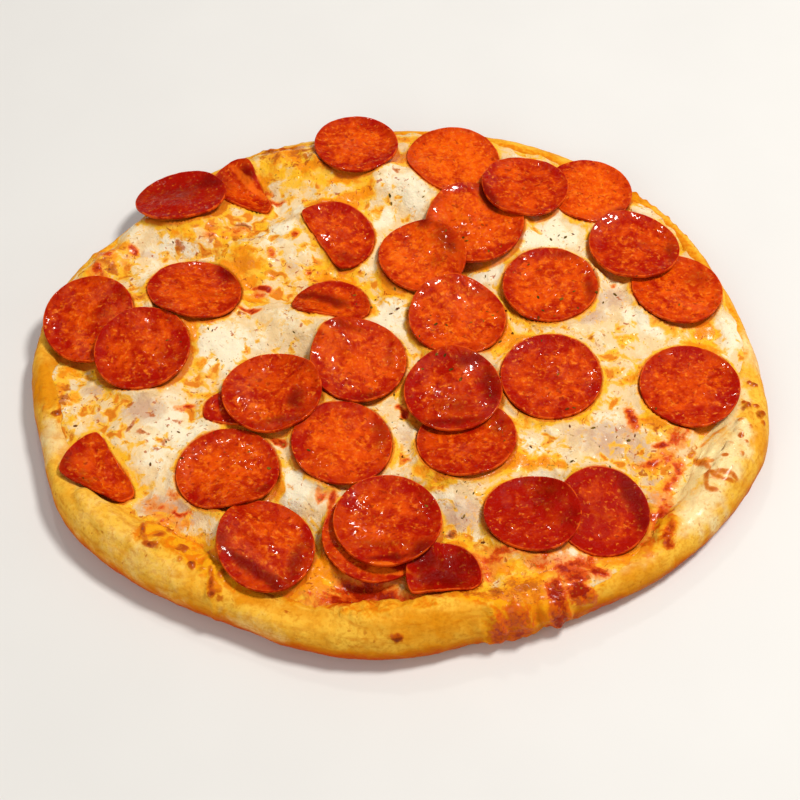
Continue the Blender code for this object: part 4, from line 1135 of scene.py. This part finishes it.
def cheese_skin(solid, edge, crust):
    """The cheese's closed skin: its solid's top, a soft edge that thins out, and an underside."""
    heights = Heights(tree_of(solid), TOP_EASING)
    bed = tree_of(crust.data)
    skin = Skin((0.0, 0.0, float(heights.at(np.zeros(1), np.zeros(1))[0])))
    last = CHEESE_ANGLES[-1][1]
    for share, count in [*cheese_rings(), (None, last)]:
        angles = np.arange(count) * 2 * math.pi / count
        far = cheese_reach(edge, angles)
        radius = far if share is None else share * (far - CHEESE_LAST_STEP)
        x, y = radius * np.cos(angles), radius * np.sin(angles)
        top = heights.at(x, y)
        if share is None or share > CHEESE_BORDER:
            low = levels(bed, x, y)
            t = np.clip((far - radius) / CHEESE_EDGE_ROUNDING, 0.0, 1.0)
            top = low + 0.02 + np.maximum(top - low, CHEESE_LEAST) * smooth(t) ** 0.7
        skin.ring(x, y, top)
    for share in CHEESE_UNDERSIDE:
        radius = share * cheese_reach(edge, angles)
        x, y = radius * np.cos(angles), radius * np.sin(angles)
        skin.ring(x, y, levels(bed, x, y) - CHEESE_SINK)
    skin.close((0.0, 0.0, float(levels(bed, 0.0, 0.0))))
    return skin


def make_cheese(material, marks, crust, edge, forms, slices):
    """The cheese with shreds, lumps and a fillet against each slice, and values for its look."""
    skin = cheese_skin(frame["nodes"]["cheese"].data, edge, crust)
    thing, points = skin.piece("melted_cheese", material)
    x, y, z = points.T
    outside = np.min([form.outline.outside(x, y) for form in forms], axis=0)
    clear = smooth(outside, -0.5, 1.5)
    hidden = len(CHEESE_UNDERSIDE) * CHEESE_ANGLES[-1][1] + 1
    upper = np.arange(len(x)) < len(x) - hidden
    inside = edge.reach(np.arctan2(y, x)) - np.hypot(x, y)
    full = smooth(inside, 0.5, 6.0)
    waves = waves_of(CHEESE_WAVES, x, y)
    shreds = strands(x, y, SHRED_COUNT, SHRED_SEED)
    relief = waves + SHRED_LIFT * shreds + waves_of(CHEESE_RIPPLES, x, y) + lumps(marks, x, y)
    lift = np.max([form.fillet(x, y, z) for form in forms], axis=0)
    relief = np.maximum(relief * clear * full, CHEESE_DEEPEST) + lift * full
    cover = bottom_of(slices, x, y)
    raised = np.minimum(z + relief, np.maximum(cover - COVER_GAP, z - CHEESE_GIVE))
    points[:, 2] = np.where(upper, raised, z)
    move_points(thing, points)
    write(thing.data, "halo", np.exp(-((np.maximum(outside, 0.0) / HALO_WIDTH) ** 2)))
    write(thing.data, "rim", rim_tint(x, y) * (1 - smooth(inside, 0.0, RIM_TINT_WIDTH)))
    write(thing.data, "film", film_share(x, y, 1.8 * np.maximum(inside, 0.0)))
    # How low each place lies among the waves and shreds; the material pools oil there and paints shade in
    # the dips.
    write(thing.data, "dip", smooth(-waves - 1.5 * shreds, -0.5, 0.6))
    tables = {
        "oil": OIL, "sauce": SAUCE, "toast": TOAST, "blush": BLUSH, "bright": BRIGHT, "herbs": HERBS,
        "mess": MESS,
    }
    for name, rows in tables.items():
        write(thing.data, name, marks.on(rows, x, y))
    finished(thing, "cheese", "cheese")
    return thing


def bottom_of(slices, x, y):
    """The height of the lowest slice over each place."""
    found = levels(tree_of(*(thing.data for thing in slices)), x, y, FLOOR)
    return np.where(np.isnan(found), NO_COVER, found)


class SliceForm:
    """A slice's form, measured on its solid, with its rim cupped a little."""

    def __init__(self, number):
        self.number = number
        self.node = f"pepperoni_{number:02d}"
        mesh = frame["nodes"][self.node].data
        self.outline = Outline(mesh)
        self.angles = np.arange(SLICE_ANGLES) * 2 * math.pi / SLICE_ANGLES
        self.reach = eased(self.outline.reach(self.angles), 2, 0, True)
        shares = np.array(SLICE_SHARES)[:, None]
        self.x = self.outline.middle[0] + shares * self.reach * np.cos(self.angles)
        self.y = self.outline.middle[1] + shares * self.reach * np.sin(self.angles)
        level = levels(tree_of(mesh), self.x, self.y)
        for i in range(1, len(shares)):
            level[i] = np.where(np.isnan(level[i]), level[i - 1], level[i])
        self.level = eased(eased(level, 5, 1, True), 1, 0)
        self.cup = SLICE_CUPS[number - 1] * smooth(shares, CUP_START, 1.0)

    def fillet(self, x, y, z):
        """How far cheese at given places is drawn up against the slice's edge."""
        across, deep = x - self.outline.middle[0], y - self.outline.middle[1]
        lift = np.zeros_like(x)
        near = np.hypot(across, deep) < self.reach.max() + 4 * FILLET_WIDTH
        angles = np.arctan2(deep[near], across[near]) % (2 * math.pi)
        outside = self.outline.outside(x[near], y[near])
        rim = self.level[-1] + self.cup[-1] - SLICE_THICKNESS
        gap = np.interp(angles, self.angles, rim, period=2 * math.pi) - z[near]
        shape = np.exp(-((np.maximum(outside, 0) / FILLET_WIDTH) ** 2)) * smooth(outside, -1.0, 0.3)
        height = np.clip(gap + FILLET_OVERLAP, 0.0, FILLET_HEIGHT)
        lift[near] = height * shape * (1 - smooth(gap, *FILLET_GAPS))
        return lift


def make_slice(form, material, marks):
    """One slice, with its solid's form, rounded edges and a slightly crinkled surface."""
    number, x, y = form.number, form.x, form.y
    cx, cy = form.outline.middle
    shares = np.array(SLICE_SHARES)[:, None]
    crinkle = waves_of([(a, b, c + number) for a, b, c in SLICE_WAVES], x, y)
    height, width, layer = SLICE_EDGE_WAVES
    crinkle += height * grain(x, y, width, layer + number) * shares**4
    gloss = marks.on(GLOSS, x, y, *GLOSS_REACH)
    least, more, width, layer = SLICE_CRINKLE
    crinkle += (least + more * gloss) * grain(x, y, width, layer + number)
    crinkle += gloss * waves_of((GLOSS_CRINKLE,), x, y)
    ceiling = CAD_BOX[1][2] / MM + SLICE_ROOM
    cup = np.minimum(form.cup, np.maximum(ceiling - form.level - crinkle, 0.0))
    top = form.level + crinkle + cup

    skin = Skin((cx, cy, float(top[0].mean())))
    for i in range(len(shares)):
        skin.ring(x[i], y[i], top[i])
    cos, sin = np.cos(form.angles), np.sin(form.angles)
    for out, down in SLICE_EDGE:
        far = SLICE_SHARES[-1] * form.reach + out
        skin.ring(cx + far * cos, cy + far * sin, top[-1] - down)
    under = form.level - SLICE_THICKNESS + cup
    for i in range(len(shares) - 3, -1, -4):
        skin.ring(x[i], y[i], under[i])
    skin.close((cx, cy, float(under[0].mean())))
    thing, points = skin.piece(f"slice_{number:02d}", material)
    rim = 1 + len(shares) * SLICE_ANGLES
    rank = np.arange(len(points))
    out = points[:, :2] - form.outline.middle
    share = np.hypot(*out.T) / form.outline.reach(np.arctan2(out[:, 1], out[:, 0]))
    write(thing.data, "edge", np.clip(share, 0, 1))
    write(thing.data, "wall", (rank >= rim) & (rank < rim + len(SLICE_EDGE) * SLICE_ANGLES))
    write(thing.data, "tone", np.full(len(points), SLICE_TONES_AND_SHADE[number - 1]))
    flat = points[:, 0], points[:, 1]
    # Painted shade of the slices, for their material.
    write(thing.data, "shade", marks.on(PAINTED_SHADE, *flat, *PAINTED_SHADE_REACH))
    write(thing.data, "glow", marks.on(GLOW, *flat, *GLOW_REACH))
    dull = DULLING * marks.on(DULL, *flat, *DULL_REACH)
    write(thing.data, "gloss", marks.on(GLOSS, *flat, *GLOSS_REACH) - dull)
    finished(thing, "pepperoni", form.node)
    return thing


class Tree:
    """A Geometry Nodes tree with named inputs, built node by node."""

    def __init__(self, name, inputs):
        self.group = bpy.data.node_groups.new(name, "GeometryNodeTree")
        self.names = {}
        self.socket("Geometry", "INPUT", "NodeSocketGeometry")
        self.socket("Geometry", "OUTPUT", "NodeSocketGeometry")
        for label, kind in inputs.items():
            self.names[label] = self.socket(label, "INPUT", kind).identifier
        self.start = self.group.nodes.new("NodeGroupInput")
        self.end = self.group.nodes.new("NodeGroupOutput")

    def socket(self, label, side, kind):
        return self.group.interface.new_socket(label, in_out=side, socket_type=kind)

    def add(self, kind, settings, inputs):
        return add_node(self.group, kind, settings, inputs)

    def finish(self, geometry):
        self.group.links.new(geometry, self.end.inputs[0])

    def grow(self, name, host, values):
        """Runs the tree on a mesh and returns the result as a plain object."""
        thing = in_scene(name, host)
        modifier = thing.modifiers.new(name, "NODES")
        modifier.node_group = self.group
        for label, value in values.items():
            modifier[self.names[label]] = value
        ready = thing.evaluated_get(bpy.context.evaluated_depsgraph_get())
        mesh = bpy.data.meshes.new_from_object(ready)
        thing.modifiers.remove(modifier)
        thing.data = mesh
        return thing


# The herb flakes: the inputs of their tree, how far they lean and turn, and their width as a
# share of their length.
FLAKES = {
    "Flakes per square metre": ("NodeSocketFloat", 12500.0),
    "Least length": ("NodeSocketFloat", 0.7 * MM),
    "Greatest length": ("NodeSocketFloat", 2.3 * MM),
    "Seed": ("NodeSocketInt", 5),
    "Material": ("NodeSocketMaterial", None),
}
FLAKE_LEAN = {"Min": (-0.2, -0.2, 0.0), "Max": (0.2, 0.2, 6.28)}
FLAKE_WIDTHS = {2: 0.2, 3: 0.55}


def flake_tree():
    """Thin five-sided flakes scattered where the attribute herbs is strong, lying at any turn."""
    t = Tree("herb_flakes", {label: kind for label, (kind, _) in FLAKES.items()})
    given = t.start.outputs
    times, random = {"operation": "MULTIPLY"}, {"data_type": "FLOAT"}
    where = t.add("GeometryNodeInputNamedAttribute", random, {"Name": "herbs"})
    share, most = where.outputs["Attribute"], given["Flakes per square metre"]
    density = t.add("ShaderNodeMath", times, {0: share, 1: most})
    spread = {"Mesh": given["Geometry"], "Density": density.outputs[0], "Seed": given["Seed"]}
    points = t.add("GeometryNodeDistributePointsOnFaces", {"distribute_method": "RANDOM"}, spread)
    flake = t.add("GeometryNodeMeshCylinder", {}, {"Vertices": 5, "Radius": 0.5, "Depth": 0.22})
    turn = t.add("FunctionNodeRandomValue", {"data_type": "FLOAT_VECTOR"}, FLAKE_LEAN)
    turned = {"Rotation": points.outputs["Rotation"], "Rotate By": turn.outputs["Value"]}
    lean = t.add("FunctionNodeRotateRotation", {"rotation_space": "LOCAL"}, turned)
    lengths = {2: given["Least length"], 3: given["Greatest length"]}
    length = t.add("FunctionNodeRandomValue", random, lengths).outputs[1]
    narrow = t.add("FunctionNodeRandomValue", random, FLAKE_WIDTHS)
    width = t.add("ShaderNodeMath", times, {0: length, 1: narrow.outputs[1]}).outputs[0]
    scale = t.add("ShaderNodeCombineXYZ", {}, {0: length, 1: width, 2: width})
    laid = {
        "Points": points.outputs["Points"], "Instance": flake.outputs["Mesh"],
        "Rotation": lean.outputs["Rotation"], "Scale": scale.outputs[0],
    }
    flakes = t.add("GeometryNodeInstanceOnPoints", {}, laid).outputs["Instances"]
    real = t.add("GeometryNodeRealizeInstances", {}, {"Geometry": flakes}).outputs[0]
    look = {"Geometry": real, "Material": given["Material"]}
    t.finish(t.add("GeometryNodeSetMaterial", {}, look).outputs[0])
    return t


def make_flakes(hosts, material, marks):
    """The flakes, over the upper side of the cheese and the slices."""
    points = []
    faces = []
    for host in hosts:
        shift = len(points)
        points += [v.co.copy() for v in host.data.vertices]
        faces += [tuple(k + shift for k in f.vertices) for f in host.data.polygons if f.normal.z > 0.5]
    mesh = bpy.data.meshes.new("herb_host")
    mesh.from_pydata(points, [], faces)
    places = np.array([p[:] for p in points]) / MM
    write(mesh, "herbs", marks.on(HERBS, places[:, 0], places[:, 1]))
    values = {label: value for label, (_, value) in FLAKES.items()}
    thing = flake_tree().grow("herb_flakes", mesh, {**values, "Material": material})
    finished(thing, "cheese")


def floor_finish():
    f = Finish("pale_floor", Roughness=0.6)
    f.base((222, 221, 219), (228, 227, 225), f.noise(60.0, 2.0))
    return f.wear()


def make_stage():
    """A plain pale floor under the pizza."""
    mesh = bpy.data.meshes.new("floor")
    corners = ((-1, -1), (1, -1), (1, 1), (-1, 1))
    mesh.from_pydata([(FLOOR_HALF * a, FLOOR_HALF * b, 0) for a, b in corners], [], [(0, 1, 2, 3)])
    mesh.materials.append(floor_finish())
    in_scene("floor", mesh)


FLOOR_HALF = 3.0
# The lights: name, direction from the pizza, distance in metres, side in metres, watts, colour.
LIGHTS = (
    ("key", (0.43, 0.13, 0.9), 1.5, 0.3, 18.2, (1.0, 0.97, 0.92)),
    ("glint", (-0.12, 0.56, 0.82), 1.5, 0.09, 1.7, (1.0, 0.97, 0.93)),
    ("fill", (-0.5, -0.65, 0.57), 1.8, 1.5, 8.5, (1.0, 0.97, 0.92)),
)
WORLD_STRENGTH = 0.29


def make_lights():
    for name, direction, distance, side, power, tint in LIGHTS:
        lamp = bpy.data.lights.new(name, "AREA")
        lamp.shape = "DISK"
        lamp.size = side
        lamp.energy = power
        lamp.color = tint
        thing = in_scene(name, lamp)
        thing.location = Vector(direction).normalized() * distance
        thing.rotation_euler = Vector(direction).to_track_quat("Z", "Y").to_euler()
    world = bpy.data.worlds.new("studio")
    world.use_nodes = True
    world.node_tree.nodes["Background"].inputs["Color"].default_value = (1.0, 0.97, 0.93, 1.0)
    world.node_tree.nodes["Background"].inputs["Strength"].default_value = WORLD_STRENGTH
    bpy.context.scene.world = world
    bpy.context.scene.view_settings.view_transform = "Standard"


def make_camera():
    lens = bpy.data.cameras.new("camera")
    lens.lens = CAMERA_LENS
    lens.sensor_width = CAMERA_SENSOR
    camera = in_scene("camera", lens)
    camera.location = Vector(CAMERA_PLACE) * MM
    look = Vector(CAMERA_TARGET - CAMERA_PLACE)
    camera.rotation_euler = look.to_track_quat("-Z", "Y").to_euler()
    bpy.context.scene.camera = camera


def main():
    nodes = frame["nodes"]
    marks = Marks(tree_of(nodes["crust"].data, nodes["cheese"].data))
    edge = Outline(nodes["cheese"].data, (0.0, 0.0))
    form = CrustForm(nodes["crust"].data)
    count = sum(name.startswith("pepperoni") for name in nodes)
    forms = [SliceForm(n) for n in range(1, count + 1)]
    sausage = slice_finish()
    slices = [make_slice(piece, sausage, marks) for piece in forms]
    crust = make_crust(crust_finish(), marks, form, edge, slices)
    cheese = make_cheese(cheese_finish(), marks, crust, edge, forms, slices)
    make_flakes([cheese, *slices], flake_finish(), marks)
    make_stage()
    make_lights()
    make_camera()


main()
